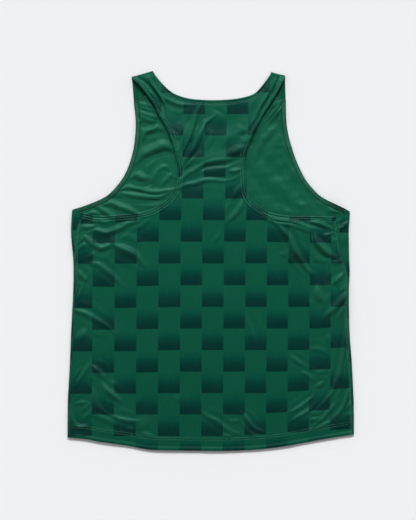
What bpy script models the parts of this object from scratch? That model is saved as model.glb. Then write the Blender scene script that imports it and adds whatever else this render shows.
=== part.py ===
"""Men's racerback running singlet, laid flat on a surface with its back up.

Two sewn panels make it. The back lies on top: above the armholes it narrows to a racerback, and
its straps go over the shoulder folds and end underneath, at forward shoulder seams. The front
lies face down below it and wraps round both side folds to the side seams, which are on top.

Frame: metres, +X to the right, +Y from the hem to the neck, +Z up from the surface, with the
origin at the bottom centre. Tables are in millimetres and are turned to metres by MM.
"""

from collections import namedtuple

import bpy
import numpy as np

MM = 0.001

# Driving sizes
WALL = 1.2 * MM  # a panel's thickness
AIR = 1.4 * MM  # air between the two layers where nothing is creased
SEAM_GAP = 0.5 * MM  # between two panels where they are sewn together
FOLD_RADIUS = (WALL + AIR) / 2  # of a panel's middle surface where it turns over
HALF_TURN = np.pi * FOLD_RADIUS
FOLD_INSET = FOLD_RADIUS + WALL / 2  # from a fold's outermost line to where the turn starts
FLOOR_LAYER = WALL / 2  # height of the lower layer's middle surface
TOP_LAYER = FLOOR_LAYER + 2 * FOLD_RADIUS

# Cells of the panels' grids
BODY_ROWS = 26
UNDERARM_CELLS = 9  # along each low stretch of the back's armhole edge
FRONT_UNDERARM_CELLS = 5
STRAP_CELLS = 4  # across a strap
NECK_CELLS = 12
YOKE_ROWS = 17
CHEST_ROWS = 9
STRAP_ROWS = 5
TURN_CELLS = 4  # round a fold

# The body's sides, from hem to underarm. The folds are the outline; each wrap is how far the
# front panel comes round its fold on top before the side seam.
Side = namedtuple("Side", "y fold_left fold_right wrap_left wrap_right")
SIDES = (
    Side(-330, -266.8, 266.8, 5.0, 4.2),
    Side(-265, -266.3, 266.2, 4.5, 4.0),
    Side(-200, -262.8, 263.3, 4.2, 4.0),
    Side(-130, -259.9, 258.5, 4.0, 4.0),
    Side(-60, -256.3, 257.2, 4.0, 4.2),
    Side(-25, -255.6, 258.7, 4.0, 5.0),
    Side(2, -256.1, 257.9, 4.2, 11.5),
    Side(32, -258.8, 257.4, 6.5, 18.0),
    Side(57, -260.3, 257.1, 11.5, 21.5),
    Side(86, -258.9, 259.0, 15.8, 27.6),
    Side(96, -257.7, 258.1, 17.2, 29.6),
)

Spot = namedtuple("Spot", "x y")
HEM = (
    Spot(-270, -328.2),
    Spot(-230, -332.7),
    Spot(-206, -337.3),
    Spot(-159, -343.8),
    Spot(-122, -350.5),
    Spot(-90, -352.7),
    Spot(0, -353.7),
    Spot(54, -353.1),
    Spot(96, -350.3),
    Spot(139, -344.5),
    Spot(203, -332.7),
    Spot(270, -321.8),
)

# Edges that come in pairs, a row for each place along them
Pair = namedtuple("Pair", "place left_x left_y right_x right_y")
BACK_ARMHOLE = (
    Pair("seam", -241.7, 91.0, 229.4, 82.8),
    Pair("", -207.9, 84.4, 181.8, 84.0),
    Pair("", -163.9, 87.1, 145.5, 84.2),
    Pair("", -134.8, 90.1, 111.0, 90.6),
    Pair("turn", -106.1, 98.9, 89.6, 102.6),
    Pair("", -81.2, 116.2, 74.7, 116.2),
    Pair("", -68.7, 133.6, 67.3, 131.2),
    Pair("", -61.1, 156.1, 65.4, 156.2),
    Pair("", -61.1, 175.0, 63.5, 181.1),
    Pair("", -71.1, 218.5, 69.5, 214.0),
    Pair("", -83.6, 247.8, 85.9, 251.0),
    Pair("", -96.1, 270.7, 100.2, 276.5),
    Pair("base", -110.9, 298.1, 114.2, 297.4),
    Pair("", -128.4, 320.6, 127.6, 321.2),
    Pair("fold", -148.1, 342.4, 138.9, 345.0),
)
BACK_NECK = (
    Pair("fold", -108.0, 354.0, 112.8, 351.8),
    Pair("", -100.8, 342.7, 108.0, 342.8),
    Pair("base", -85.0, 324.7, 92.8, 322.7),
    Pair("", -68.5, 311.8, 79.0, 310.6),
    Pair("", -42.3, 303.0, 52.5, 303.0),
    Pair("", -16.0, 300.2, 24.0, 300.2),
)
BACK_NECK_CENTRE = Spot(4, 299.7)
FRONT_ARMHOLE = (
    Pair("seam", -257.7, 95.9, 258.0, 93.2),
    Pair("", -239.5, 101.1, 241.1, 101.5),
    Pair("", -209.3, 112.8, 216.4, 113.5),
    Pair("", -188.7, 124.9, 199.2, 124.9),
    Pair("turn", -168.6, 147.2, 179.4, 147.2),
    Pair("", -155.8, 169.5, 166.8, 169.5),
    Pair("", -148.0, 191.9, 157.3, 191.9),
    Pair("", -142.8, 214.2, 150.0, 214.2),
    Pair("", -140.3, 236.5, 144.2, 236.5),
    Pair("base", -139.7, 262.0, 140.6, 262.0),
    Pair("end", -143.1, 297.0, 139.6, 299.0),
)
FRONT_NECK = (
    Pair("end", -103.0, 317.0, 101.0, 313.5),
    Pair("", -100.0, 300.0, 100.0, 298.0),
    Pair("base", -94.0, 281.0, 95.0, 280.0),
    Pair("", -80.0, 258.0, 82.0, 258.0),
    Pair("", -58.0, 238.0, 60.0, 238.0),
    Pair("", -30.0, 226.0, 32.0, 226.0),
)
FRONT_NECK_CENTRE = Spot(1, 222)

# The largest folds, each a soft ridge from start to end: crest height and half width
Fold = namedtuple("Fold", "x0 y0 x1 y1 height half_width")
BACK_FOLDS = (
    Fold(-50, 157, -11, 187, 4.5, 15),
    Fold(-18, 184, 44, 198, 4.5, 15),
    Fold(-51, 208, -29, 272, 3.0, 14),
    Fold(-44, 188, -9, 266, 2.5, 14),
    Fold(-52, 142, 44, 160, 2.5, 13),
    Fold(-226, 54, -150, 74, 3.5, 17),
    Fold(-184, 41, -126, 8, 3.0, 18),
    Fold(-219, 6, -156, -43, 3.5, 19),
    Fold(-236, -88, -180, -125, 3.0, 18),
    Fold(-244, -212, -218, -184, 3.0, 17),
    Fold(-222, -190, -166, -260, 3.5, 20),
    Fold(118, 74, 150, 38, 3.0, 18),
    Fold(148, 42, 188, -31, 4.0, 19),
    Fold(238, -52, 210, -108, 3.0, 18),
    Fold(242, -60, 232, -205, 2.5, 17),
    Fold(192, -246, 148, -289, 3.0, 18),
    Fold(238, -268, 200, -304, 2.5, 17),
    Fold(-8, -287, 50, -320, 2.0, 18),
)
FRONT_FOLDS = (
    Fold(-178, 112, -140, 103, 1.2, 12),
    Fold(-136, 205, -110, 217, 1.2, 12),
    Fold(190, 108, 158, 116, 1.2, 12),
    Fold(122, 238, 112, 216, 1.2, 12),
)

Cloth = namedtuple("Cloth", "colour roughness")
PRINTED_TRICOT = Cloth((0.006, 0.080, 0.047), 0.5)
PLAIN_TRICOT = Cloth((0.010, 0.103, 0.058), 0.45)


def through(points):
    """Dense points of the Catmull-Rom curve through points, and each given point's place."""
    points = np.asarray(points, float)
    ends = np.vstack([2 * points[0] - points[1], points, 2 * points[-1] - points[-2]])
    steps = 24
    t = np.linspace(0, 1, steps, endpoint=False)[:, None]
    spans = [
        b + t / 2 * (c - a + t * (2 * a - 5 * b + 4 * c - d + t * (3 * b - a - 3 * c + d)))
        for a, b, c, d in zip(ends, ends[1:], ends[2:], ends[3:])
    ]
    return np.vstack(spans + [points[-1:]]), np.arange(len(points)) * steps


def spaced(curve, cells):
    """cells + 1 points spaced evenly along a dense curve."""
    steps = np.linalg.norm(np.diff(curve, axis=0), axis=1)
    run = np.concatenate([[0.0], np.cumsum(steps)])
    at = np.linspace(0, run[-1], cells + 1)
    return np.column_stack([np.interp(at, run, column) for column in curve.T])


def side_edge(rows, side, first, last, cells):
    """The stretch of a paired edge between two named places, on one side."""
    curve, at = through([(getattr(row, side + "_x"), getattr(row, side + "_y")) for row in rows])
    places = [row.place for row in rows]
    start, end = at[places.index(first)], at[places.index(last)]
    stretch = curve[start : end + 1] if start < end else curve[end : start + 1][::-1]
    return spaced(stretch, cells) * MM


def spot(rows, side, place):
    """One named place of a paired edge, on one side."""
    row = next(row for row in rows if row.place == place)
    return np.array([getattr(row, side + "_x"), getattr(row, side + "_y")]) * MM


def neck_edge(rows, centre, cells):
    """The neckline between the strap bases, left to right."""
    left = [(row.left_x, row.left_y) for row in rows]
    right = [(row.right_x, row.right_y) for row in rows]
    curve, at = through(left + [tuple(centre)] + right[::-1])
    base = [row.place for row in rows].index("base")
    return spaced(curve[at[base] : at[len(at) - 1 - base] + 1], cells) * MM


def side_value(column, y):
    """A column of SIDES at the heights y."""
    curve, _ = through([(row.y, getattr(row, column)) for row in SIDES])
    return np.interp(y, curve[:, 0] * MM, curve[:, 1] * MM)


def hem_height(x):
    curve, _ = through(HEM)
    return np.interp(x, curve[:, 0] * MM, curve[:, 1] * MM)


def line(start, end, cells):
    t = np.linspace(0, 1, cells + 1)[:, None]
    return (1 - t) * np.asarray(start) + t * np.asarray(end)


def coons(bottom, top, left, right):
    """A grid inside four edge curves: its two ruled surfaces, less the bilinear one."""
    u = np.linspace(0, 1, len(bottom))[None, :, None]
    v = np.linspace(0, 1, len(left))[:, None, None]
    along = (1 - v) * bottom[None] + v * top[None]
    across = (1 - u) * left[:, None] + u * right[:, None]
    corners = (1 - v) * ((1 - u) * bottom[0] + u * bottom[-1]) + v * (
        (1 - u) * top[0] + u * top[-1]
    )
    return along + across - corners


def side_line(x_of, top, rows):
    """A side of the body from the hem up to top, at the x that x_of gives for a height."""
    y = np.linspace(hem_height(x_of(-330 * MM)), top, rows + 1)
    return np.column_stack([x_of(y), y])


def crossing(points, start, end):
    """The part of a strap's edge up to the line from start to end, ending exactly on it."""
    along = np.subtract(end, start)
    normal = np.array([-along[1], along[0]]) / np.hypot(*along)
    side = (points - start) @ normal
    keep = points[side < -0.5 * MM]
    step = points[-1] - keep[-1]
    reach = ((start - keep[-1]) @ normal) / (step @ normal)
    return np.vstack([keep, keep[-1] + reach * step])


def shoulder(side):
    """The line where a strap starts to turn over, its outer end first, and the way it heads."""
    outer = spot(BACK_ARMHOLE, side, "fold")
    inner = spot(BACK_NECK, side, "fold")
    along = (inner - outer) / np.linalg.norm(inner - outer)
    ahead = np.array([-along[1], along[0]]) * (1 if side == "left" else -1)
    return outer - FOLD_INSET * ahead, inner - FOLD_INSET * ahead, ahead


def unfolded(point, axis, ahead):
    """Where a point below a shoulder fold lies on the flat strap."""
    back = (axis - np.asarray(point)) @ ahead
    return np.asarray(point) + (2 * back + HALF_TURN) * ahead


def back_blocks():
    """The back panel's flat grids: body, racerback yoke and two straps."""
    seam = {
        "left": lambda y: side_value("fold_left", y) + side_value("wrap_left", y) + SEAM_GAP,
        "right": lambda y: side_value("fold_right", y) - side_value("wrap_right", y) - SEAM_GAP,
    }
    low = {
        side: side_edge(BACK_ARMHOLE, side, "seam", "turn", UNDERARM_CELLS)
        for side in ("left", "right")
    }
    arm = {
        side: side_edge(BACK_ARMHOLE, side, "turn", "base", YOKE_ROWS)
        for side in ("left", "right")
    }
    for side in seam:
        low[side][0, 0] = seam[side](low[side][0, 1])
    across = line(low["left"][-1], low["right"][-1], 2 * STRAP_CELLS + NECK_CELLS)
    top = np.vstack([low["left"], across[1:-1], low["right"][::-1]])
    sides = {side: side_line(seam[side], low[side][0, 1], BODY_ROWS) for side in seam}
    hem_x = np.linspace(sides["left"][0, 0], sides["right"][0, 0], len(top))
    hem = np.column_stack([hem_x, hem_height(hem_x)])
    neck = neck_edge(BACK_NECK, BACK_NECK_CENTRE, NECK_CELLS)
    base = {
        "left": line(arm["left"][-1], neck[0], STRAP_CELLS),
        "right": line(neck[-1], arm["right"][-1], STRAP_CELLS),
    }
    yoke_top = np.vstack([base["left"], neck[1:-1], base["right"]])
    blocks = [
        coons(hem, top, sides["left"], sides["right"]),
        coons(across, yoke_top, arm["left"], arm["right"]),
    ]
    for side in ("left", "right"):
        blocks += strap_blocks(side, base[side])
    return blocks


def strap_blocks(side, base):
    """A back strap: up to its shoulder fold, round it, and on to the forward seam."""
    axis_outer, axis_inner, ahead = shoulder(side)
    outer = side_edge(BACK_ARMHOLE, side, "base", "fold", 4 * STRAP_ROWS)
    inner = side_edge(BACK_NECK, side, "base", "fold", 4 * STRAP_ROWS)
    turn = (axis_outer, axis_inner) if side == "left" else (axis_inner, axis_outer)
    outer = spaced(crossing(outer, *turn), STRAP_ROWS)
    inner = spaced(crossing(inner, *turn), STRAP_ROWS)
    gap = np.array([0.0, SEAM_GAP])
    far_outer = unfolded(spot(FRONT_ARMHOLE, side, "end") + gap, axis_outer, ahead)
    far_inner = unfolded(spot(FRONT_NECK, side, "end") + gap, axis_outer, ahead)
    turned = HALF_TURN * ahead
    left, right = (outer, inner) if side == "left" else (inner, outer)
    far = (far_outer, far_inner) if side == "left" else (far_inner, far_outer)
    start = line(left[-1], right[-1], STRAP_CELLS)
    beyond = start + turned
    end = line(*far, STRAP_CELLS)
    return [
        coons(base, start, left, right),
        coons(
            start,
            beyond,
            line(start[0], beyond[0], TURN_CELLS),
            line(start[-1], beyond[-1], TURN_CELLS),
        ),
        coons(
            beyond,
            end,
            line(beyond[0], end[0], STRAP_ROWS),
            line(beyond[-1], end[-1], STRAP_ROWS),
        ),
    ]


def front_blocks():
    """The front panel's flat grids: body, wrapped sides, chest and two straps."""
    turn_at = {
        "left": lambda y: side_value("fold_left", y) + FOLD_INSET,
        "right": lambda y: side_value("fold_right", y) - FOLD_INSET,
    }
    low, arm, strap = {}, {}, {}
    for side in ("left", "right"):
        low[side] = side_edge(FRONT_ARMHOLE, side, "seam", "turn", FRONT_UNDERARM_CELLS)
        low[side][0, 0] = turn_at[side](low[side][0, 1])
        arm[side] = side_edge(FRONT_ARMHOLE, side, "turn", "base", CHEST_ROWS)
        strap[side] = side_edge(FRONT_ARMHOLE, side, "base", "end", STRAP_ROWS)
    across = line(low["left"][-1], low["right"][-1], 2 * STRAP_CELLS + NECK_CELLS)
    top = np.vstack([low["left"], across[1:-1], low["right"][::-1]])
    sides = {side: side_line(turn_at[side], low[side][0, 1], BODY_ROWS) for side in turn_at}
    hem_x = np.linspace(sides["left"][0, 0], sides["right"][0, 0], len(top))
    hem = np.column_stack([hem_x, hem_height(hem_x)])
    neck = neck_edge(FRONT_NECK, FRONT_NECK_CENTRE, NECK_CELLS)
    base = {
        "left": line(arm["left"][-1], neck[0], STRAP_CELLS),
        "right": line(neck[-1], arm["right"][-1], STRAP_CELLS),
    }
    chest_top = np.vstack([base["left"], neck[1:-1], base["right"]])
    blocks = [
        coons(hem, top, sides["left"], sides["right"]),
        coons(across, chest_top, arm["left"], arm["right"]),
        wrapped_side(sides["left"], "left"),
        wrapped_side(sides["right"], "right"),
    ]
    for side in ("left", "right"):
        inner = side_edge(FRONT_NECK, side, "base", "end", STRAP_ROWS)
        left, right = (strap[side], inner) if side == "left" else (inner, strap[side])
        blocks.append(coons(base[side], line(left[-1], right[-1], STRAP_CELLS), left, right))
    return blocks


def wrapped_side(edge, side):
    """The front panel's strip beyond a side fold: round the turn and up to the side seam."""
    sign = -1 if side == "left" else 1
    y = np.linspace(edge[0, 1], spot(BACK_ARMHOLE, side, "seam")[1], len(edge))
    slant = side_value("fold_" + side, y) - side_value("fold_" + side, edge[:, 1])
    wrap = side_value("wrap_" + side, y) - FOLD_INSET + sign * slant
    round_turn = np.linspace(0, 1, TURN_CELLS + 1) * HALF_TURN
    out = np.hstack([np.tile(round_turn, (len(y), 1)), (HALF_TURN + wrap)[:, None]])
    share = out / out[:, -1:]
    grid = np.stack(
        [
            edge[:, :1] + sign * out,
            edge[:, 1:] + share * (y - edge[:, 1])[:, None],
        ],
        axis=-1,
    )
    return grid[:, ::-1] if side == "left" else grid


def ridges(points, folds):
    """Height that the folds add: a smooth bump across each one that fades at its ends."""
    height = np.zeros(len(points))
    for fold in folds:
        start = np.array([fold.x0, fold.y0]) * MM
        along = np.array([fold.x1, fold.y1]) * MM - start
        t = np.clip((points - start) @ along / (along @ along), 0, 1)
        away = np.linalg.norm(points - start - t[:, None] * along, axis=1)
        near = np.clip(1 - away / (fold.half_width * MM), 0, 1)
        bump = near * near * (3 - 2 * near)
        height = np.maximum(height, fold.height * MM * bump * (0.55 + 1.8 * t * (1 - t)))
    return height


def turned(distance):
    """Plan shift and rise of cloth this far past the line where it starts to turn over."""
    angle = np.clip(distance / FOLD_RADIUS, 0, np.pi)
    shift = FOLD_RADIUS * np.sin(angle) - np.maximum(distance - HALF_TURN, 0)
    return shift, FOLD_RADIUS * (1 - np.cos(angle))


def lay_front(flat):
    """The front panel on the surface: flat but for its folds, with its sides turned up and in."""
    x, y = flat.T
    left = side_value("fold_left", y) + FOLD_INSET
    right = side_value("fold_right", y) - FOLD_INSET
    past = np.maximum(np.maximum(left - x, x - right), 0)
    shift, rise = turned(past)
    middle = np.clip(x, left, right)
    plan = np.column_stack([middle + np.sign(x - middle) * shift, y])
    below = (past == 0) * ridges(plan, FRONT_FOLDS)
    above = (past > HALF_TURN) * ridges(plan, BACK_FOLDS)
    return np.column_stack([plan, FLOOR_LAYER + rise + below + above])


def lay_back(flat):
    """The back panel on top of the front, with its strap ends turned over and under."""
    laid = np.column_stack([flat, TOP_LAYER + ridges(flat, BACK_FOLDS)])
    for side, sign in (("left", -1), ("right", 1)):
        axis, _, ahead = shoulder(side)
        past = np.maximum((flat - axis) @ ahead, 0) * (flat[:, 0] * sign > 0)
        shift, rise = turned(past)
        laid[:, :2] += (shift - past)[:, None] * ahead
        laid[:, 2] -= rise
    return laid


def joined(blocks):
    """One grid mesh from blocks that share edge points: its points and its four-sided faces."""
    points, faces = [], []
    for block in blocks:
        rows, columns = block.shape[:2]
        number = np.arange(rows * columns).reshape(rows, columns) + sum(map(len, points))
        faces.append(
            np.stack(
                [number[:-1, :-1], number[:-1, 1:], number[1:, 1:], number[1:, :-1]], axis=-1
            ).reshape(-1, 4)
        )
        points.append(block.reshape(-1, 2))
    points, faces = np.vstack(points), np.vstack(faces)
    _, first, index = np.unique(
        np.round(points, 7), axis=0, return_index=True, return_inverse=True
    )
    return points[first], index.reshape(-1)[faces]


def normals_of(points, faces):
    """Unit normals at the points, each the mean of its faces' normals."""
    corners = points[faces]
    face = np.cross(corners[:, 2] - corners[:, 0], corners[:, 3] - corners[:, 1])
    total = np.zeros_like(points)
    for corner in range(4):
        np.add.at(total, faces[:, corner], face)
    return total / np.linalg.norm(total, axis=1, keepdims=True)


def wall(points, faces):
    """A closed wall about a surface: a skin on each side of it and a rim round its edge."""
    offset = WALL / 2 * normals_of(points, faces)
    count = len(points)
    edges = np.vstack([faces[:, [i, (i + 1) % 4]] for i in range(4)])
    pairs = set(map(tuple, edges.tolist()))
    rim = np.array([edge for edge in edges.tolist() if (edge[1], edge[0]) not in pairs])
    sides = np.column_stack([rim[:, 1], rim[:, 0], rim[:, 0] + count, rim[:, 1] + count])
    skins = np.vstack([faces, faces[:, ::-1] + count, sides])
    return np.vstack([points + offset, points - offset]), skins


def material(name, cloth):
    finish = bpy.data.materials.new(name)
    finish.use_nodes = True
    shader = finish.node_tree.nodes["Principled BSDF"]
    shader.inputs["Base Color"].default_value = (*cloth.colour, 1.0)
    shader.inputs["Roughness"].default_value = cloth.roughness
    shader.inputs["Metallic"].default_value = 0.0
    return finish


def panel(name, blocks, lay, cloth):
    """One sewn panel as a named object: its flat grid, laid and given its thickness."""
    flat, faces = joined(blocks)
    points, skins = wall(lay(flat), faces)
    mesh = bpy.data.meshes.new(name)
    mesh.from_pydata(points.tolist(), [], skins.tolist())
    mesh.shade_smooth()
    mesh.set_sharp_from_angle(angle=np.radians(50))
    mesh.materials.append(material(name, cloth))
    singlet_piece = bpy.data.objects.new(name, mesh)
    bpy.context.scene.collection.objects.link(singlet_piece)
    return singlet_piece


def clear_scene():
    for thing in list(bpy.data.objects):
        bpy.data.objects.remove(thing)


def main():
    clear_scene()
    panel("front_panel", front_blocks(), lay_front, PLAIN_TRICOT)
    panel("back_panel", back_blocks(), lay_back, PRINTED_TRICOT)


main()
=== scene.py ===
"""Men's racerback running singlet, laid flat with its back up, in printed and plain tricot.

The two sewn panels are thin cloth shells on the forms of the frame's two stiff walls, with the
creases that the cloth has as it lies. The back is on top: its straps go over the shoulder folds
and end underneath. The front lies face down below it, shows its inside in both armholes, and
wraps round the side folds to the side seams on top. Thread is modelled stitch by stitch.

Frame: metres, +X to the right, +Y from the hem to the neck, +Z up from the surface. Tables are
in millimetres and are turned to metres by MM.
"""

from collections import namedtuple

import bpy
import numpy as np
from bpy.props import FloatProperty, FloatVectorProperty, PointerProperty
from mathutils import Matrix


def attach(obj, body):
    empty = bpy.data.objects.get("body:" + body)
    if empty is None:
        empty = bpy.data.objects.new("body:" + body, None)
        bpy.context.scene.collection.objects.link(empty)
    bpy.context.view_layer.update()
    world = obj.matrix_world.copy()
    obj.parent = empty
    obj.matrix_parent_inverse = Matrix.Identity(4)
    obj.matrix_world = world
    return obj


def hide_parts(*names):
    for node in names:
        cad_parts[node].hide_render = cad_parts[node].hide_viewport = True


bl_info = {
    "name": "Running Singlet",
    "version": (1, 0, 0),
    "blender": (4, 5, 0),
    "location": "3D Viewport > Sidebar > Singlet",
    "description": "Builds a racerback running singlet laid flat, with its print, creases and stitching",
    "category": "Add Mesh",
}

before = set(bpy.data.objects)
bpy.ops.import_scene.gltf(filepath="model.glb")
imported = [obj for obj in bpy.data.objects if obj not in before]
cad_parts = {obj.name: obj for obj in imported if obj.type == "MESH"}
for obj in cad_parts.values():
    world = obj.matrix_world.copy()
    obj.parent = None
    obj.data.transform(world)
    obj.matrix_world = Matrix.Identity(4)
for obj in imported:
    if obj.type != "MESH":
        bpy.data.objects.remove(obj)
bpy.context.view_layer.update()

MM = 0.001

# Heights of the two layers' middle surfaces
CLOTH = 0.8 * MM  # a panel's thickness as drawn
FLOOR_LAYER = CLOTH / 2
TOP_LAYER = 3.2 * MM
FOLD_RADIUS = (TOP_LAYER - FLOOR_LAYER) / 2  # where a panel turns over
HALF_TURN = np.pi * FOLD_RADIUS
FOLD_INSET = FOLD_RADIUS + CLOTH / 2  # from a fold's outermost line to where the turn starts
SEAM_GAP = 0.3 * MM

# Sizes of the cells that the cloth is drawn with
CELL = 2.4 * MM
RACER_CELL = CELL * 0.9  # up the yoke and the back's straps
EDGE_CELL = 0.9 * MM  # beside edges and seams
EDGE_BAND = 13 * MM
HIDDEN_CELL = 4 * MM  # in the front below the armholes, where the back lies over it
SHOWN_DEPTH = 70 * MM  # of the front below its armholes, where finer cells are of use
TURN_CELLS = 6
WRAP_CELLS = 10  # across the front's strip from the side fold to the side seam

# How curves and distances are worked out
SPAN_STEPS = 24  # points of a curve from one given point to the next
CURVE_STEP = 2.5 * MM
CREASE_STEP = 2 * MM
RUB_STRIDE = 12  # of the points of a crease's curve, each of which rubs the cloth
CHUNK = 1500  # points measured at a time
EDGE_PARTS = 16  # stretches of an edge whose surroundings are looked at one by one
EDGE_REACH = 30 * MM  # beyond which a distance from an edge isn't worked out
SLOPE_STEP = 0.4 * MM  # from a place on the cloth to those that its slope is taken from
WAY_STEP = 0.5 * MM  # along an edge, to those that its way is taken from
FOOT = -330 * MM  # height at which the sides come to the hem

# Where the sewing lies, measured in from an edge
ARMHOLE_ROWS = (4.6 * MM, 9.3 * MM)  # twin needle rows round the back's armholes
NECK_ROWS = (5.6 * MM, 8.4 * MM)
FRONT_ROWS = (2.4 * MM, 6.4 * MM)  # the two sides of the looper thread, inside the front
HEM_ROWS = (19.8 * MM, 23.8 * MM)
SEAM_ROWS = (1.3 * MM, 3.4 * MM)

# How far it reaches along the edge
STRAP_UNDER = 56 * MM  # of a strap's edge that lies round and under its shoulder fold
ARMHOLE_START = 4 * MM
INSIDE_START = 2 * MM
HEM_HALF = 261 * MM
SEAM_SEWN = {"left": (-28 * MM, 78 * MM), "right": (-322 * MM, 78 * MM)}
STITCH_PITCH = 1.12  # from one stitch to the next, in stitch lengths

# How creases are shaped
CREASE_SPREAD = 1.12  # all of them wider than their tables by this
CREASE_RISE = 1.8  # and higher
CREST_PLACE = 0.7  # of the crest beside its table's line, in crease widths
UPPER_REACH = 1.2  # of a crest's upper flank, in crease widths
LOWER_REACH = 0.9
END_SHARE = 0.42  # of a crease's length over which each end dies away
FADE_SHARE = 0.75  # of its height that a fading crease loses on its way
TAPER = (0.45, 0.55)  # a crease's width at its ends, and what it gains up to its middle
TAIL_SHARE = 0.3  # of its table's length that each tail adds
TAIL_LEAST = 9 * MM
COMPANIONS = ((0, 1.0, 0.5), (2.7, 0.3, 0.35), (-2.5, 0.22, 0.65))  # place in widths, size, share
COMPANION_STRETCH = 0.3
SLENDER = 8  # times as long as wide, from which a crease has its full height
RIDE_OVER = 0.6  # how much of the front's creases shows through the back above them
SHARED = 0.45  # how much of the back's ridges the front has under them
RUB_REACH = 10 * MM  # how far beside a crease the cloth is worked
RUB_FULL = 3.0  # crease height that works it most
RUB_MOST = 0.8
HANDLED_YOKE = 0.4  # how worked the yoke is all over, because hands hold it
HANDLED_INSIDE = 0.45

# The cloth's own soft waves: about how long, how high, and what they are drawn from
Swell = namedtuple("Swell", "length height seed")
TOP_SWELLS = (Swell(90 * MM, 0.35 * MM, 3), Swell(28 * MM, 0.07 * MM, 5))
YOKE_SWELL = Swell(45 * MM, 0.45 * MM, 8)
INSIDE_SWELLS = (Swell(42 * MM, 0.4 * MM, 11), Swell(20 * MM, 0.2 * MM, 13))
RIGHT_GAIN = 0.8  # how much higher the inside's waves are in the right armhole
WAVES = 14

# Stretches over which something comes in, as the two ends that smoothstep takes
YOKE_STRETCH = (85 * MM, 130 * MM)  # up the back, for the yoke's own waves
HANDLED_STRETCH = (80 * MM, 135 * MM)  # up the back, for how worked the yoke is
LIFT_STRETCH = (175 * MM, 215 * MM)  # up the racer edges, for how far they stand off
BAND_STRETCH = (110 * MM, 165 * MM)  # up the front's armholes, for how far their band lies down
PUSHED_STRETCH = (262 * MM, 285 * MM)  # up the straps, for the cloth pushed up beside them
SHADOW_STRETCH = (262 * MM, 290 * MM)  # up the straps, for the painted shadow beside them
INSIDE_STRETCH = (75 * MM, 110 * MM)  # up the front, for its waves
RIGHT_STRETCH = (60 * MM, 110 * MM)  # across the front, for the waves' gain to the right
CORNER_ACROSS = (212 * MM, 236 * MM)  # to the right underarm's corner
CORNER_UP = (88 * MM, 93 * MM)
SIDE_EASE = (0, 12 * MM)  # in from a side fold, for the lower layer's height
SHOULDER_EASE = (-10 * MM, 0)  # up to a shoulder fold, over which a strap flattens
STRAPS_FROM = 200 * MM  # height above which the back is taken as strap
SHOULDER_FLAT = 0.85  # how much of its height a strap loses at the shoulder fold

# Heights along edges and seams
OPENING_FADE = 32 * MM  # over which the back comes down into the front's neck opening
OPENING_FROM = 215 * MM  # height above which there is such an opening
OPENING_SPARE = 0.4 * MM  # of the back's fall into it
REST_SOFT = 0.25 * MM  # how softly the top layer comes to rest
SEAM_RIDGE = 1.3 * MM
SIDE_RIDGE = (1.2 * MM, 2.6 * MM)  # place in from the side seam and reach
SHOULDER_REACH = 3 * MM
BAND_UP = 2.2 * MM  # how far the front's armhole band stands up beside the underarms
BAND_REACH = 9.5 * MM
BAND_ROLL = (0.3 * MM, 3 * MM, 3 * MM)  # height, place in from the edge and reach
BAND_TRENCH = (0.6 * MM, 8.2 * MM, 1.9 * MM)
BAND_STEP = 1.4 * MM  # over which the band's turned edge ends
CORNER_RISE = 3.2
CORNER_REACH = 4.5 * MM
CORNER_FOLD = (14 * MM, 6 * MM)
EDGE_UP = 0.3 * MM  # how far the back's armhole edges stand up everywhere
LIFT = 3.0 * MM  # of the racer edges off the front, up to the shoulders
LIFT_REACH = 13 * MM
LIP = 1.3 * MM  # over which a finished edge rounds off
LIP_DROP = 0.5 * MM
LIFTED_DROP = 1.3 * MM  # more, where the edge is lifted
ROLL = 0.5 * MM  # of a finished edge, just inside it
ROLL_PLACE = 2 * MM
ROLL_REACH = 2.4 * MM
HEM_ROLL = 1.1 * MM
HEM_ROLL_PLACE = 3 * MM
HEM_ROLL_REACH = 5.5 * MM
HEM_TURNED = 0.3 * MM
TURNED_EDGE = 0.45 * MM  # the second layer along a finished edge
TURNED_PAST = 2.5 * MM  # of it beyond the second needle row
TURNED_STEP = 2 * MM  # over which it ends
ROW_PULL = 0.18 * MM  # how far the needle rows draw the edge down
ROW_REACH = 1.6 * MM
PUSHED_UP = 2.2 * MM  # of the front's cloth beside the lifted straps
PUSHED_PLACE = 5.5 * MM
PUSHED_REACH = 3.8 * MM
PUSHED_CLEAR = 4 * MM  # of the front's own edge that it leaves alone
SINK = 0.4 * MM  # how far the front's troughs go down
FLOOR_SPARE = 0.2 * MM
WAVE_SPARE = 0.5 * MM

# The knit, drawn coarser than its 0.8 mm wales so that it shows
WALE_STREAK = 2.6 * MM
STREAK_LENGTH = 30 * MM
PRINT_STREAK = 50 * MM
CLOUDS = (70 * MM, 90 * MM)
BUMP_LENGTH = 12 * MM
STRAND_LENGTH = 4 * MM
WALE_HEIGHT = 0.02 * MM
ROW_DEPTH = 0.15 * MM
ROW_HALF = 1.5 * MM  # half the width of a pulled-in row
TONE = 0.85  # of the cloth's colour, to which streaks and clouds add
STREAK_TONE = 0.22
CLOUD_TONE = 0.08
PRINT_RAGGED = 0.14  # share of a block by which the wales carry the print up and down
PRINT_ROW_SHADE = 0.15  # painted shade: how much darker the face is in a sewn row's groove
# and the inside's painted shade in its sewn rows' grooves
INSIDE_ROW_SHADE = 0.5
WORKED_GAIN = 1.3
STRANDS = (0.4, 0.6, 0.45, 1.0)  # ends of the noise, and of how far strands take up the working

# Thread: radius and height of the rings along one stitch, in thread radii
THREAD_RADII = (0.5, 1.0, 1.0, 0.5)
THREAD_RISE = (-0.3, 0.7, 0.7, -0.3)
THREAD_SIDES = 5
FINE_THREAD = 0.8  # of the needle thread's radius, for looper and overlock threads
HEM_THREAD = 0.7
OVERLOCK_ENDS = (2 * MM, 40 * MM)  # along a shoulder seam
OVERLOCK_IN = 0.8 * MM  # from the seam to the near ends of the stitches across it
OVERLOCK_WIDTH = 3.6 * MM
OVERLOCK_LEAN = 0.6 * MM
OVERLOCK_CHAIN = 2.4 * MM  # length of the stitches along it

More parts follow.
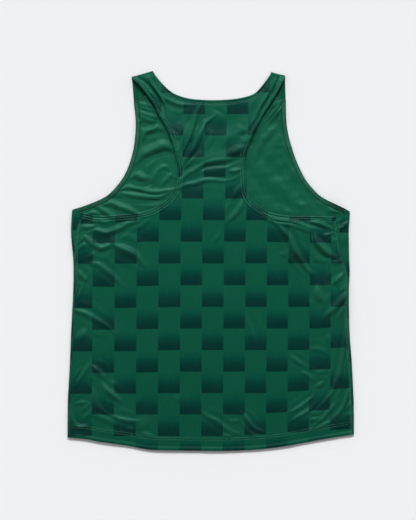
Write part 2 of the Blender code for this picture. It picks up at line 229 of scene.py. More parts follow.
# Colours, sRGB
GLOSS = "#B0F5E2"  # the dyed filaments' gloss is tinted
GLOSS_LEVEL = 0.25  # half of the 0.5 at which the index of refraction alone sets the gloss
REFRACTION = 1.5
PRINT_FADE = (  # down one block of the check
    (0.0, "#09503A"),
    (0.50, "#084F3A"),
    (0.63, "#034A38"),
    (0.72, "#013F33"),
    (0.80, "#01362D"),
    (0.88, "#013029"),
    (1.0, "#012B26"),
)
TURNED_IN = "#064936"  # the printed face, where it is turned in round the front's armholes
TURNED_DARK = "#012823"  # and darker, towards the right underarm's corner
TURNED_ENDS = (6.6 * MM, 7.6 * MM)  # in from the edge
DARK_FROM = (228 * MM, 233 * MM)  # to the right
STRAP_SHADOW_DEPTH = 0.85  # painted shadow: how much of the tone it takes away beside the straps' lifted edges
SHADOW_PLACE = 1.4 * MM
SHADOW_REACH = 2.6 * MM
INSIDE_ROW = 1.8 * MM  # of the sewn row that shows inside, past the looper thread
PAINTED_FALL_TO_HEM = (  # painted light and shade: tone by height, as two ranges that multiply, darker towards the hem, where less light reaches, and lighter towards the neck
    (-0.33, 0.0, 0.84, 1.01),
    (0.0, 0.33, 1.0, 1.12 / 1.01),
)

# The stage
TABLE_HALF = 4.0
TABLE_LEVEL = -0.2 * MM
KEY_RISE = np.radians(40)  # of the lamp over the table, on the neck's side
KEY_TURN = np.radians(1)  # of the lamp to the left
KEY_SPREAD = np.radians(9)
SKY_FADE = ((0.0, 1.0), (0.68, 1.0), (0.8, 0.1), (1.0, 0.05))  # level by the sine of the rise
SKY_BEHIND = 0.4  # level of the sky on the hem's side, of that on the neck's side
SKY_TURN = np.radians(4)  # of the sky's brightest side to the left
SKY_EDGE = 0.6  # how far to each side the sky goes over from one level to the other
CAMERA_HEIGHT = 3.0
PHOTO_SPAN = 0.9672  # height of the photo's frame on the cloth
CAMERA_LENS = 36.0 * CAMERA_HEIGHT / PHOTO_SPAN
CAMERA_PLACE = (-5.1 * MM, 2.1 * MM, CAMERA_HEIGHT + TOP_LAYER)

INWARD = {"left": 1, "right": -1}  # the way from each side to the middle, along X

# The body's sides, from hem to underarm. The folds are the outline; each wrap is how far the
# front panel comes round its fold on top before the side seam.
Side = namedtuple("Side", "y fold_left fold_right wrap_left wrap_right")
SIDES = (
    Side(-330, -266.8, 266.8, 5.0, 4.2),
    Side(-265, -266.3, 266.2, 4.5, 4.0),
    Side(-200, -262.8, 263.3, 4.2, 4.0),
    Side(-130, -259.9, 258.5, 4.0, 4.0),
    Side(-60, -256.3, 257.2, 4.0, 4.2),
    Side(-25, -255.6, 258.7, 4.0, 5.0),
    Side(2, -256.1, 257.9, 4.2, 11.5),
    Side(32, -258.8, 257.4, 6.5, 18.0),
    Side(57, -260.3, 257.1, 11.5, 21.5),
    Side(86, -258.9, 259.0, 15.8, 27.6),
    Side(96, -257.7, 258.1, 17.2, 29.6),
)

Spot = namedtuple("Spot", "x y")
HEM = (
    Spot(-270, -327.2),
    Spot(-230, -331.4),
    Spot(-206, -335.9),
    Spot(-159, -342.5),
    Spot(-122, -349.4),
    Spot(-90, -351.6),
    Spot(0, -352.7),
    Spot(54, -352.1),
    Spot(96, -349.4),
    Spot(139, -343.8),
    Spot(203, -332.3),
    Spot(270, -321.4),
)

# Edges that come in pairs, a row for each place along them
Pair = namedtuple("Pair", "place left_x left_y right_x right_y")
BACK_ARMHOLE = (
    Pair("seam", -241.7, 91.0, 229.4, 82.8),
    Pair("", -207.9, 84.4, 181.8, 84.0),
    Pair("", -163.9, 87.1, 145.5, 84.2),
    Pair("", -134.8, 90.1, 111.0, 90.6),
    Pair("turn", -106.1, 98.9, 89.6, 102.6),
    Pair("", -81.2, 116.2, 74.7, 116.2),
    Pair("", -68.7, 133.6, 67.3, 131.2),
    Pair("", -61.1, 156.1, 65.4, 156.2),
    Pair("", -61.1, 175.0, 63.5, 181.1),
    Pair("", -71.1, 218.5, 69.5, 214.0),
    Pair("", -83.6, 247.8, 85.9, 251.0),
    Pair("", -96.1, 270.7, 100.2, 276.5),
    Pair("base", -110.9, 298.1, 114.2, 297.4),
    Pair("", -126.8, 320.6, 127.6, 321.2),
    Pair("fold", -148.1, 342.4, 138.9, 345.0),
)
BACK_NECK = (
    Pair("fold", -108.0, 354.0, 112.8, 351.8),
    Pair("", -100.8, 342.7, 108.0, 342.8),
    Pair("base", -85.0, 324.7, 92.8, 322.7),
    Pair("", -68.5, 311.8, 79.0, 310.6),
    Pair("", -42.3, 303.0, 52.5, 303.0),
    Pair("", -16.0, 300.2, 24.0, 300.2),
)
BACK_NECK_CENTRE = Spot(4, 299.7)
FRONT_ARMHOLE = (
    Pair("seam", -257.7, 95.9, 258.0, 93.2),
    Pair("", -239.5, 101.1, 241.1, 101.5),
    Pair("", -209.3, 112.8, 216.4, 113.5),
    Pair("", -188.7, 124.9, 199.2, 124.9),
    Pair("turn", -168.6, 147.2, 179.4, 147.2),
    Pair("", -155.8, 169.5, 166.8, 169.5),
    Pair("", -148.0, 191.9, 157.3, 191.9),
    Pair("", -142.8, 214.2, 150.0, 214.2),
    Pair("", -140.3, 236.5, 144.2, 236.5),
    Pair("base", -139.7, 262.0, 140.6, 262.0),
    Pair("end", -143.1, 297.0, 139.6, 299.0),
)
FRONT_NECK = (
    Pair("end", -103.0, 317.0, 101.0, 313.5),
    Pair("", -100.0, 300.0, 100.0, 298.0),
    Pair("base", -94.0, 281.0, 95.0, 280.0),
    Pair("", -80.0, 258.0, 82.0, 258.0),
    Pair("", -58.0, 238.0, 60.0, 238.0),
    Pair("", -30.0, 226.0, 32.0, 226.0),
)
FRONT_NECK_CENTRE = Spot(1, 222)

# Creases, each given as the line along the middle of its upper flank, which is on the left of the way
# the line runs, the crest's height and that flank's width. A negative height is a trough. One that fades
# dies away towards the line's end.
Crease = namedtuple("Crease", "route height width fades", defaults=(0,))
BACK_CREASES = (
    # yoke
    Crease(((-53, 205), (-46, 225), (-39, 248), (-31, 274), (-26, 283)), 3.7, 6.0),
    Crease(((-52, 186), (-42, 205), (-33, 222), (-24, 242), (-14, 259), (-7, 264)), 4.4, 8.0),
    Crease(((-52, 175), (-44, 183), (-37, 190), (-29, 195)), 1.7, 4.7),
    Crease(((-53, 157), (-44, 166), (-31, 173), (-20, 181), (-13, 186), (-1, 189), (6, 191),
           (25, 193), (40, 195)), 2.3, 6.5),
    Crease(((-31, 196), (-11, 201), (13, 201), (40, 205)), 2.2, 16.7),
    Crease(((-24, 173), (-9, 180), (8, 183), (28, 184), (43, 188)), -1.7, 5.6),
    Crease(((30, 203), (41, 209), (53, 216), (58, 220)), 3.0, 9.3),
    Crease(((40, 196), (53, 199)), -0.9, 5.6),
    Crease(((-57, 140), (-46, 145), (-31, 148), (-13, 154), (6, 154), (25, 152), (40, 155),
           (50, 160)), 2.5, 6.5, 1),
    Crease(((36, 170), (53, 173)), 2.0, 5.6),
    Crease(((-59, 129), (-53, 117)), 0.6, 4.7),
    Crease(((-76, 242), (-65, 223)), 1.9, 7.4),
    Crease(((-70, 242), (-53, 233)), 1.9, 7.4),
    Crease(((51, 254), (69, 244)), 0.6, 5.6),
    Crease(((54, 223), (69, 233), (77, 242)), 1.9, 7.4),
    Crease(((54, 237), (67, 240)), -0.9, 5.6),
    Crease(((8, 285), (19, 283), (25, 277), (30, 272)), -0.9, 5.6),
    Crease(((38, 117), (43, 129), (53, 143)), 1.9, 7.4),
    Crease(((32, 77), (40, 88), (49, 99), (58, 116)), 2.0, 6.5),
    Crease(((4, 39), (13, 52)), 0.7, 5.6),
    # neck side and straps
    Crease(((-94, 313), (-85, 307), (-74, 302), (-59, 296), (-42, 293)), 1.7, 5.6),
    Crease(((-138, 340), (-124, 322), (-109, 302)), 2.7, 7.4),
    Crease(((-126, 339), (-111, 322), (-97, 305)), 2.7, 7.4),
    Crease(((-136, 346), (-124, 337), (-111, 326), (-99, 312), (-92, 299)), -2.6, 3.5),
    Crease(((-115, 346), (-109, 333), (-100, 320), (-91, 307), (-83, 294), (-80, 276)), 2.2, 3.7),
    Crease(((-94, 276), (-85, 266)), 0.9, 3.7),
    Crease(((-106, 294), (-94, 281)), -1.4, 4.7),
    Crease(((80, 264), (84, 276), (90, 289), (97, 302), (105, 316)), 2.0, 6.5),
    Crease(((73, 248), (82, 262), (89, 277), (97, 292), (107, 307), (114, 318), (125, 345)),
           -3.0, 3.3),
    Crease(((67, 225), (75, 241), (86, 258), (97, 276)), 0.9, 3.7),
    Crease(((72, 223), (80, 238), (91, 255), (102, 274)), 0.9, 3.7),
    Crease(((75, 218), (80, 233), (92, 251), (106, 283)), -0.6, 3.7),
    Crease(((114, 320), (118, 335)), 1.4, 5.6),
    Crease(((110, 292), (118, 307), (129, 326)), 1.4, 5.6),
    # left body
    Crease(((-239, 66), (-217, 68)), 2.0, 5.6),
    Crease(((-226, 57), (-212, 61), (-195, 57), (-180, 62), (-167, 67), (-158, 73),
           (-145, 75)), 2.3, 6.5),
    Crease(((-145, 63), (-132, 68), (-115, 80)), 0.7, 5.6),
    Crease(((-243, 41), (-234, 49), (-225, 43), (-217, 36), (-204, 29), (-193, 32),
           (-180, 36)), 2.3, 6.5),
    Crease(((-245, 26), (-236, 34), (-228, 28)), 2.0, 5.6),
    Crease(((-178, 41), (-176, 34), (-161, 28), (-146, 21), (-135, 13), (-126, 0)), 3.0, 8.4),
    Crease(((-228, 11), (-217, 17)), 1.2, 4.7),
    Crease(((-217, -2), (-208, -2), (-199, -9), (-187, -18), (-176, -29),
           (-165, -41)), 2.7, 7.4, 1),
    Crease(((-243, -18), (-236, -26), (-229, -33)), 2.0, 5.6),
    Crease(((-231, -31), (-228, -16)), 1.2, 4.7),
    Crease(((-252, -74), (-247, -63), (-241, -50), (-238, -39)), 0.9, 3.7),
    Crease(((-219, -74), (-210, -83)), 0.6, 4.7),
    Crease(((-252, -89), (-236, -92), (-223, -98), (-210, -106), (-199, -113), (-187, -122),
           (-180, -129)), 2.7, 7.4, 1),
    Crease(((-252, -141), (-245, -134), (-236, -126)), 3.0, 10.2),
    Crease(((-217, -128), (-202, -136)), 0.7, 5.6),
    Crease(((-249, -225), (-243, -214), (-236, -202), (-228, -191), (-225, -182)), 1.4, 5.6),
    Crease(((-254, -212), (-245, -199)), 0.9, 3.7),
    Crease(((-219, -193), (-210, -199), (-202, -208), (-197, -215)), 2.2, 5.6),
    Crease(((-197, -229), (-189, -238), (-180, -245), (-169, -256)), 2.8, 6.0),
    Crease(((-221, -232), (-215, -242), (-212, -253), (-208, -266), (-199, -275),
           (-191, -281)), 1.7, 6.0),
    Crease(((-251, -264), (-239, -260), (-228, -262)), 1.2, 4.2),
    Crease(((-238, -275), (-228, -264)), 1.2, 4.7),
    Crease(((-239, -292), (-232, -284), (-225, -275)), 1.4, 5.6),
    Crease(((-258, -275), (-256, -288), (-252, -299), (-243, -305), (-230, -304)), 1.7, 5.6),
    Crease(((-219, -284), (-204, -286), (-187, -292), (-173, -299), (-161, -301)), 1.1, 7.4),
    Crease(((-180, -286), (-169, -290), (-154, -293), (-139, -295), (-124, -294)), 2.3, 6.5, 1),
    Crease(((-143, -295), (-115, -294)), 1.7, 13.0),
    Crease(((-154, -308), (-143, -310)), 1.4, 5.6),
    Crease(((-124, -318), (-109, -323)), 1.4, 5.6),
    Crease(((-66, -251), (-55, -251)), 1.0, 7.4),
    # right body
    Crease(((106, 87), (125, 81), (146, 79), (164, 74), (181, 66), (198, 61)), 2.0, 5.6),
    Crease(((106, 80), (125, 74), (146, 72), (164, 67), (181, 60), (198, 54)), 2.0, 5.6),
    Crease(((121, 75), (133, 64), (144, 52), (151, 43), (155, 32), (160, 21), (170, 6),
           (177, -7), (185, -18)), 3.6, 5.8),
    Crease(((188, -16), (198, -24)), 0.6, 4.7),
    Crease(((188, 75), (201, 74), (213, 69), (222, 64)), 2.5, 5.0),
    Crease(((207, 49), (224, 53)), 1.3, 3.7),
    Crease(((196, 50), (201, 39), (211, 28), (218, 21), (229, 13)), 4.4, 7.4),
    Crease(((223, 40), (230, 42)), 1.4, 5.6),
    Crease(((192, 5), (199, 7)), 1.4, 5.6),
    Crease(((229, 0), (237, 2)), 1.4, 5.6),
    Crease(((133, 16), (140, 18)), 1.4, 5.6),
    Crease(((224, -41), (233, -31), (244, -22)), 2.0, 5.6),
    Crease(((242, -52), (250, -43)), 2.0, 5.6),
    Crease(((214, -98), (226, -85), (237, -72), (248, -59), (255, -52)), 2.7, 7.4),
    Crease(((235, -104), (242, -89), (250, -78), (253, -70)), 1.4, 5.6),
    Crease(((201, -46), (205, -59), (211, -74)), 3.4, 8.4),
    Crease(((205, -266), (216, -253), (226, -238), (231, -223), (237, -204), (242, -176),
           (246, -149), (248, -139), (250, -111), (252, -91)), 2.6, 5.0),
    Crease(((242, -223), (244, -208), (248, -191), (252, -175), (255, -160)), 1.2, 3.7),
    Crease(((67, -93), (69, -106), (77, -121), (82, -137), (86, -156)), 0.7, 5.6),
    Crease(((151, -175), (160, -182), (170, -189), (177, -195)), 1.2, 4.7),
    Crease(((168, -206), (175, -206), (185, -212), (192, -219), (196, -223)), 1.2, 4.7),
    Crease(((196, -230), (207, -223)), 2.0, 5.6),
    Crease(((147, -279), (155, -275), (166, -268), (179, -258), (188, -251),
           (192, -242)), 1.7, 4.2),
    Crease(((151, -295), (160, -288), (170, -282), (181, -275), (188, -269)), 1.9, 4.2),
    Crease(((183, -162), (196, -160), (207, -162), (218, -171)), 0.7, 5.6),
    Crease(((196, -204), (211, -204)), 0.9, 4.7),
    Crease(((205, -212), (218, -217)), 0.6, 4.7),
    Crease(((188, -308), (198, -297), (207, -290), (216, -279), (229, -264), (231, -251),
           (237, -242)), 1.7, 4.2),
    Crease(((199, -307), (207, -303), (220, -297), (226, -290), (237, -279), (244, -268),
           (250, -251), (257, -236)), 2.1, 4.7),
    Crease(((250, -273), (257, -264), (265, -255)), 1.4, 4.2),
    Crease(((253, -282), (261, -281)), 1.7, 5.6),
    Crease(((186, -292), (199, -289)), 2.0, 5.6),
    Crease(((188, -280), (203, -279)), 1.4, 5.6),
    Crease(((222, -139), (226, -149)), 1.4, 5.6),
    # lower middle
    Crease(((-13, -281), (-1, -288), (12, -294), (23, -303), (32, -310), (43, -316),
           (51, -318)), 1.4, 5.6),
    Crease(((27, -321), (38, -322)), 1.4, 5.6),
    Crease(((34, -295), (53, -295)), 0.9, 3.7),
    Crease(((58, -281), (66, -287), (72, -295), (78, -304), (87, -311), (97, -315)), 1.9, 4.4),
    Crease(((69, -308), (77, -318), (86, -324)), 1.4, 5.6),
)
FRONT_CREASES = (
    # left window
    Crease(((-133, 295), (-120, 294), (-107, 290)), 1.7, 4.7),
    Crease(((-132, 290), (-120, 287), (-109, 282)), 1.7, 4.7),
    Crease(((-132, 281), (-120, 277), (-109, 273), (-100, 270)), 2.0, 5.6),
    Crease(((-132, 275), (-120, 269), (-109, 264), (-102, 262)), 2.0, 5.6),
    Crease(((-130, 259), (-117, 257), (-104, 259)), -2.2, 7.4),
    Crease(((-130, 229), (-126, 242), (-119, 248), (-109, 251), (-100, 253), (-93, 250)), 2.7, 7.4),
    Crease(((-124, 236), (-109, 240), (-93, 240)), -0.9, 5.6),
    Crease(((-135, 192), (-130, 203), (-119, 210), (-106, 216), (-94, 222), (-83, 222),
           (-72, 216), (-66, 209)), 3.0, 12.1),
    Crease(((-143, 170), (-132, 184), (-119, 196), (-106, 203), (-87, 207), (-72, 205)), -2.2, 8.4),
    Crease(((-148, 160), (-139, 166), (-128, 162), (-115, 158)), 3.0, 8.4),
    Crease(((-150, 153), (-135, 149), (-113, 147)), -2.2, 7.4),
    Crease(((-113, 140), (-109, 158), (-98, 175), (-83, 179), (-74, 171)), 1.4, 5.6),
    Crease(((-93, 143), (-85, 155), (-76, 164), (-66, 158)), 1.4, 5.6),
    Crease(((-167, 136), (-154, 141), (-135, 139), (-115, 134), (-94, 133), (-76, 135)), 2.0, 5.6),
    Crease(((-165, 129), (-143, 126), (-115, 123), (-96, 123), (-83, 128)), 2.0, 5.6),
    Crease(((-180, 119), (-150, 117), (-120, 115), (-94, 116)), -2.0, 6.5),
    Crease(((-199, 108), (-184, 112), (-169, 106), (-154, 101), (-139, 93), (-132, 90)), 2.3, 6.5),
    Crease(((-208, 103), (-199, 99), (-187, 91), (-174, 84)), 2.3, 6.5),
    Crease(((-228, 91), (-217, 93), (-206, 88)), 1.7, 4.7),
    # right window
    Crease(((112, 289), (118, 294), (127, 300)), 2.0, 5.6),
    Crease(((105, 265), (112, 276), (120, 286), (128, 295)), 2.4, 3.9),
    Crease(((109, 261), (117, 272), (124, 281), (131, 289)), 2.4, 3.9),
    Crease(((106, 250), (112, 255), (120, 261)), -0.9, 5.6),
    Crease(((79, 190), (80, 201), (86, 216), (92, 229), (103, 238), (112, 248)), 1.3, 8.4),
    Crease(((95, 214), (101, 220), (108, 225)), -0.9, 5.6),
    Crease(((110, 231), (121, 238)), -0.9, 5.6),
    Crease(((86, 186), (93, 203)), -0.9, 5.6),
    Crease(((114, 218), (121, 220), (133, 220)), 0.6, 6.5),
    Crease(((133, 103), (142, 97), (147, 95)), 0.8, 6.5),
    Crease(((160, 112), (173, 108)), 0.8, 6.5),
    # wedges
    Crease(((236, 62), (245, 68), (255, 74)), 3.6, 4.0),
    Crease(((243, 40), (252, 53)), 2.2, 3.7),
    Crease(((244, 32), (253, 45)), 1.6, 3.7),
)

GREEN_EDGE_U = -219.4 * MM  # a column's edge, beside the left side seam
DARK_EDGE_V = -4.0 * MM  # where a dark block ends, in every second column

# How the back's print lies off true
Pull = namedtuple("Pull", "most start end full limit")
ASKEW = np.array([(-321, -1.9), (39, 0), (115, 1.9), (281, 5.6)]) * MM  # to the right, by height
BOW = 2.2 * MM  # to the right, in the middle
BOW_HALF = 220 * MM
TAKEN_UP = 3.4 * MM  # by the fold across the yoke
TAKEN_UP_STRETCH = (155 * MM, 195 * MM)
PULLS = (  # up at each side, more towards the seam and the underarm
    Pull(6.5 * MM, -110 * MM, -215 * MM, 70 * MM, 1.2),
    Pull(3.2 * MM, 90 * MM, 170 * MM, 60 * MM, 1),
)
SAG = 0.8 * MM  # down between the underarms and the hem
SAG_LEFT = 2.5 * MM
SAG_ACROSS = (-30 * MM, -200 * MM)
SAG_TOP = (15 * MM, -40 * MM)
SAG_FOOT = (-300 * MM, -200 * MM)
DRAWN_UP = 0.05  # share drawn up below a slanting line in the lower right
DRAWN_FROM = 70 * MM
DRAWN_SLANT = 1.25
DRAWN_SIDE = 242 * MM

# How the front's cloth lies in the print, on the left and on the right
FRONT_SCALE = (1.056, 1.034)
FRONT_SHIFT = 59.6 * MM
FRONT_DOWN = (62 * MM, 57 * MM)


def smoothstep(low, high, value):
    """0 up to low, 1 from high on and smooth between them, or the other way round."""
    t = np.clip((value - low) / (high - low), 0, 1)
    return t * t * (3 - 2 * t)


def through(points):
    """Dense points of the Catmull-Rom curve through points, and each given point's place."""
    points = np.asarray(points, float)
    ends = np.vstack([2 * points[0] - points[1], points, 2 * points[-1] - points[-2]])
    t = np.linspace(0, 1, SPAN_STEPS, endpoint=False)[:, None]
    spans = [
        b + t / 2 * (c - a + t * (2 * a - 5 * b + 4 * c - d + t * (3 * b - a - 3 * c + d)))
        for a, b, c, d in zip(ends, ends[1:], ends[2:], ends[3:])
    ]
    return np.vstack(spans + [points[-1:]]), np.arange(len(points)) * SPAN_STEPS


def run_of(curve):
    """Distance along a dense curve at each of its points."""
    steps = np.linalg.norm(np.diff(curve, axis=0), axis=1)
    return np.concatenate([[0.0], np.cumsum(steps)])


def at_run(curve, distance):
    """Points of a dense curve at distances along it."""
    run = run_of(curve)
    return np.column_stack([np.interp(distance, run, column) for column in curve.T])


def spaced(curve, shares):
    """Points of a dense curve at shares of its length."""
    return at_run(curve, np.asarray(shares) * run_of(curve)[-1])


def graded(length, cell, fine_start=False, fine_end=False):
    """Shares of a length, an even count of cells: `cell` apart, and closer by a marked end."""
    place = np.linspace(0, length, 400)
    size = np.full(400, cell)
    for fine, away in ((fine_start, place), (fine_end, length - place)):
        if fine:
            share = smoothstep(EDGE_BAND, 2 * EDGE_BAND, away)
            size = np.minimum(size, EDGE_CELL + (cell - EDGE_CELL) * share)
    count = np.concatenate([[0.0], np.cumsum(np.diff(place) * (1 / size[1:] + 1 / size[:-1]) / 2)])
    cells = 2 * max(1, round(count[-1] / 2))
    return np.interp(np.linspace(0, count[-1], cells + 1), count, place) / length


def place_of(row, side):
    """A row's place on one side, in millimetres."""
    return getattr(row, side + "_x"), getattr(row, side + "_y")


def stretch_of(rows, side, first, last):
    """The dense stretch of a paired edge between two named places, on one side."""
    curve, at = through([place_of(row, side) for row in rows])
    places = [row.place for row in rows]
    start, end = at[places.index(first)], at[places.index(last)]
    return (curve[start : end + 1] if start < end else curve[end : start + 1][::-1]) * MM


def spot(rows, side, place):
    """One named place of a paired edge, on one side."""
    return np.array(next(place_of(row, side) for row in rows if row.place == place)) * MM


def neck_line(rows, centre):
    """The dense neckline between the strap bases, left to right."""
    left, right = ([place_of(row, side) for row in rows] for side in INWARD)
    curve, at = through(left + [tuple(centre)] + right[::-1])
    base = [row.place for row in rows].index("base")
    return curve[at[base] : at[len(at) - 1 - base] + 1] * MM


def side_value(column, y):
    """A column of SIDES at the heights y."""
    curve, _ = through([(row.y, getattr(row, column)) for row in SIDES])
    return np.interp(y, curve[:, 0] * MM, curve[:, 1] * MM)


def hem_height(x):
    """Height of the hem's edge at each x."""
    curve, _ = through(HEM)
    return np.interp(x, curve[:, 0] * MM, curve[:, 1] * MM)


def seam_x(side, y):
    """Where a side seam runs on top, at the heights y."""
    return side_value("fold_" + side, y) + INWARD[side] * side_value("wrap_" + side, y)


def back_side_x(side, y):
    """Where the back's edge lies beside that seam."""
    return seam_x(side, y) + INWARD[side] * SEAM_GAP


def turn_x(side, y):
    """Where the front starts to turn over at a side fold."""
    return side_value("fold_" + side, y) + INWARD[side] * FOLD_INSET


def line(start, end, shares):
    """Places at shares of the way from start to end."""
    t = np.asarray(shares)[:, None]
    return (1 - t) * np.asarray(start) + t * np.asarray(end)


def coons(bottom, top, left, right, u, v):
    """A grid inside four edge curves: its two ruled surfaces, less the bilinear one."""
    u = u[None, :, None]
    v = v[:, None, None]
    along = (1 - v) * bottom[None] + v * top[None]
    across = (1 - u) * left[:, None] + u * right[:, None]
    low, high = ((1 - u) * edge[0] + u * edge[-1] for edge in (bottom, top))
    return along + across - ((1 - v) * low + v * high)


def ruled(bottom, top, u, v):
    """A grid whose sides run straight from one edge to the other."""
    sides = (line(bottom[end], top[end], v) for end in (0, -1))
    return coons(bottom, top, *sides, u, v)


def crossing(points, start, end):
    """The part of a strap's edge up to the line from start to end, ending exactly on it."""
    along = np.subtract(end, start)
    normal = np.array([-along[1], along[0]]) / np.hypot(*along)
    side = (points - start) @ normal
    keep = points[side < -0.2 * MM]
    step = points[-1] - keep[-1]
    reach = ((start - keep[-1]) @ normal) / (step @ normal)
    return np.vstack([keep, keep[-1] + reach * step])


def shoulder(side):
    """The line where a strap starts to turn over, its outer end first, and the way it heads."""
    outer = spot(BACK_ARMHOLE, side, "fold")
    inner = spot(BACK_NECK, side, "fold")
    along = (inner - outer) / np.linalg.norm(inner - outer)
    ahead = np.array([-along[1], along[0]]) * INWARD[side]
    return outer - FOLD_INSET * ahead, inner - FOLD_INSET * ahead, ahead


def left_to_right(side, outer, inner):
    """What belongs to a strap's outer and inner edges, the left one first."""
    return (outer, inner) if side == "left" else (inner, outer)


def strap_end(rows, side):
    """Where a back strap's edge ends on the flat cloth: across the seam from the front's end,
    unfolded about the shoulder."""
    axis, _, ahead = shoulder(side)
    point = spot(rows, side, "end") + np.array([0.0, SEAM_GAP])
    back = (axis - point) @ ahead
    return point + (2 * back + HALF_TURN) * ahead


def low_edges(rows_arm, x_of, fine):
    """Each side's armhole edge from its foot, which lies on x_of, to the underarm's turn."""
    low = {}
    for side in INWARD:
        curve = stretch_of(rows_arm, side, "seam", "turn")
        low[side] = spaced(curve, graded(run_of(curve)[-1], CELL, fine_start=fine))
        low[side][0, 0] = x_of(side, low[side][0, 1])
    return low


def body_grid(low, top, x_of, v):
    """A body grid: its rows run from the hem up to the top edge, between the sides x_of."""
    u = (top[:, 0] - top[0, 0]) / (top[-1, 0] - top[0, 0])
    sides = []
    for side in INWARD:
        foot = hem_height(x_of(side, FOOT))
        y = foot + v * (low[side][0, 1] - foot)
        sides.append(np.column_stack([x_of(side, y), y]))
    left, right = sides
    hem_x = left[0, 0] + u * (right[0, 0] - left[0, 0])
    hem = np.column_stack([hem_x, hem_height(hem_x)])
    return coons(hem, top, left, right, u, v), left, right


def upper_grid(rows_arm, rows_neck, centre, low, cell, fine):
    """The grid from the underarm line up to the strap bases and the neckline.

    Returns it with what other grids share of it: the body's top edge, the strap bases and the
    shares across those.
    """
    neck_curve = neck_line(rows_neck, centre)
    neck = spaced(neck_curve, graded(run_of(neck_curve)[-1], CELL))
    edges = {side: stretch_of(rows_arm, side, "turn", "base") for side in INWARD}
    rows = graded(run_of(edges["left"])[-1], cell, fine_end=fine)
    arm = {side: spaced(edge, rows) for side, edge in edges.items()}
    across = {}
    for side in INWARD:
        width = np.linalg.norm(spot(rows_arm, side, "base") - spot(rows_neck, side, "base"))
        across[side] = graded(width, CELL, fine_start=True, fine_end=True)
    base = {
        "left": line(arm["left"][-1], neck[0], across["left"]),
        "right": line(neck[-1], arm["right"][-1], across["right"]),
    }
    top = np.vstack([base["left"], neck[1:-1], base["right"]])
    u = run_of(top) / run_of(top)[-1]
    under = line(low["left"][-1], low["right"][-1], u)
    grid = coons(under, top, arm["left"], arm["right"], u, rows)
    return grid, np.vstack([low["left"], under[1:-1], low["right"][::-1]]), base, across


def back_blocks():
    """The back panel's flat grids: body, racerback yoke and two straps."""
    low = low_edges(BACK_ARMHOLE, back_side_x, fine=True)
    yoke, top, base, across = upper_grid(
        BACK_ARMHOLE, BACK_NECK, BACK_NECK_CENTRE, low, RACER_CELL, fine=True
    )
    v = graded(low["left"][0, 1] - hem_height(0), CELL, fine_start=True, fine_end=True)
    body, _, _ = body_grid(low, top, back_side_x, v)
    blocks = [body, yoke]
    for side in INWARD:
        blocks += strap_blocks(side, base[side], across[side])
    return blocks


def strap_blocks(side, base, shares):
    """A back strap: up to its shoulder fold, round it, and on to the forward seam."""
    axis_outer, axis_inner, ahead = shoulder(side)
    turn = left_to_right(side, axis_outer, axis_inner)
    outer = crossing(stretch_of(BACK_ARMHOLE, side, "base", "fold"), *turn)
    inner = crossing(stretch_of(BACK_NECK, side, "base", "fold"), *turn)
    rows = graded(run_of(outer)[-1], RACER_CELL)
    left, right = left_to_right(side, spaced(outer, rows), spaced(inner, rows))
    far_outer, far_inner = strap_end(FRONT_ARMHOLE, side), strap_end(FRONT_NECK, side)
    start = line(left[-1], right[-1], shares)
    beyond = start + HALF_TURN * ahead
    end = line(*left_to_right(side, far_outer, far_inner), shares)
    under = graded(np.linalg.norm(far_outer - axis_outer), CELL)
    return [
        coons(base, start, left, right, shares, rows),
        ruled(start, beyond, shares, np.linspace(0, 1, TURN_CELLS + 1)),
        ruled(beyond, end, shares, under),
    ]


def front_blocks():
    """The front panel's flat grids: body, chest, wrapped sides and two straps."""
    low = low_edges(FRONT_ARMHOLE, turn_x, fine=False)
    chest, top, base, across = upper_grid(
        FRONT_ARMHOLE, FRONT_NECK, FRONT_NECK_CENTRE, low, CELL, fine=False
    )
    length = low["left"][0, 1] - hem_height(0)
    hidden = length - SHOWN_DEPTH
    shown = hidden + graded(SHOWN_DEPTH, CELL, fine_end=True)[1:] * SHOWN_DEPTH
    v = np.concatenate([graded(hidden, HIDDEN_CELL) * hidden, shown])
    body, left, right = body_grid(low, top, turn_x, v / length)
    blocks = [body, chest, wrapped_side(left, "left"), wrapped_side(right, "right")]
    for side in INWARD:
        outer = stretch_of(FRONT_ARMHOLE, side, "base", "end")
        inner = stretch_of(FRONT_NECK, side, "base", "end")
        rows = graded(run_of(outer)[-1], CELL)
        left, right = left_to_right(side, spaced(outer, rows), spaced(inner, rows))
        end = line(left[-1], right[-1], across[side])
        blocks.append(coons(base[side], end, left, right, across[side], rows))
    return blocks


def wrapped_side(edge, side):
    """The front panel's strip beyond a side fold: round the turn and up to the side seam."""
    sign = -INWARD[side]
    y = np.interp(
        edge[:, 1], edge[[0, -1], 1], [edge[0, 1], spot(BACK_ARMHOLE, side, "seam")[1]]
    )
    slant = side_value("fold_" + side, y) - side_value("fold_" + side, edge[:, 1])
    wrap = side_value("wrap_" + side, y) - FOLD_INSET + sign * slant
    round_turn = np.linspace(0, 1, TURN_CELLS + 1) * HALF_TURN
    over = np.linspace(0, 1, WRAP_CELLS + 1)[1:] * wrap[:, None]
    out = np.hstack([np.tile(round_turn, (len(y), 1)), HALF_TURN + over])
    share = out / out[:, -1:]
    grid = np.stack(
        [edge[:, :1] + sign * out, edge[:, 1:] + share * (y - edge[:, 1])[:, None]], axis=-1
    )
    return grid[:, ::-1] if side == "left" else grid


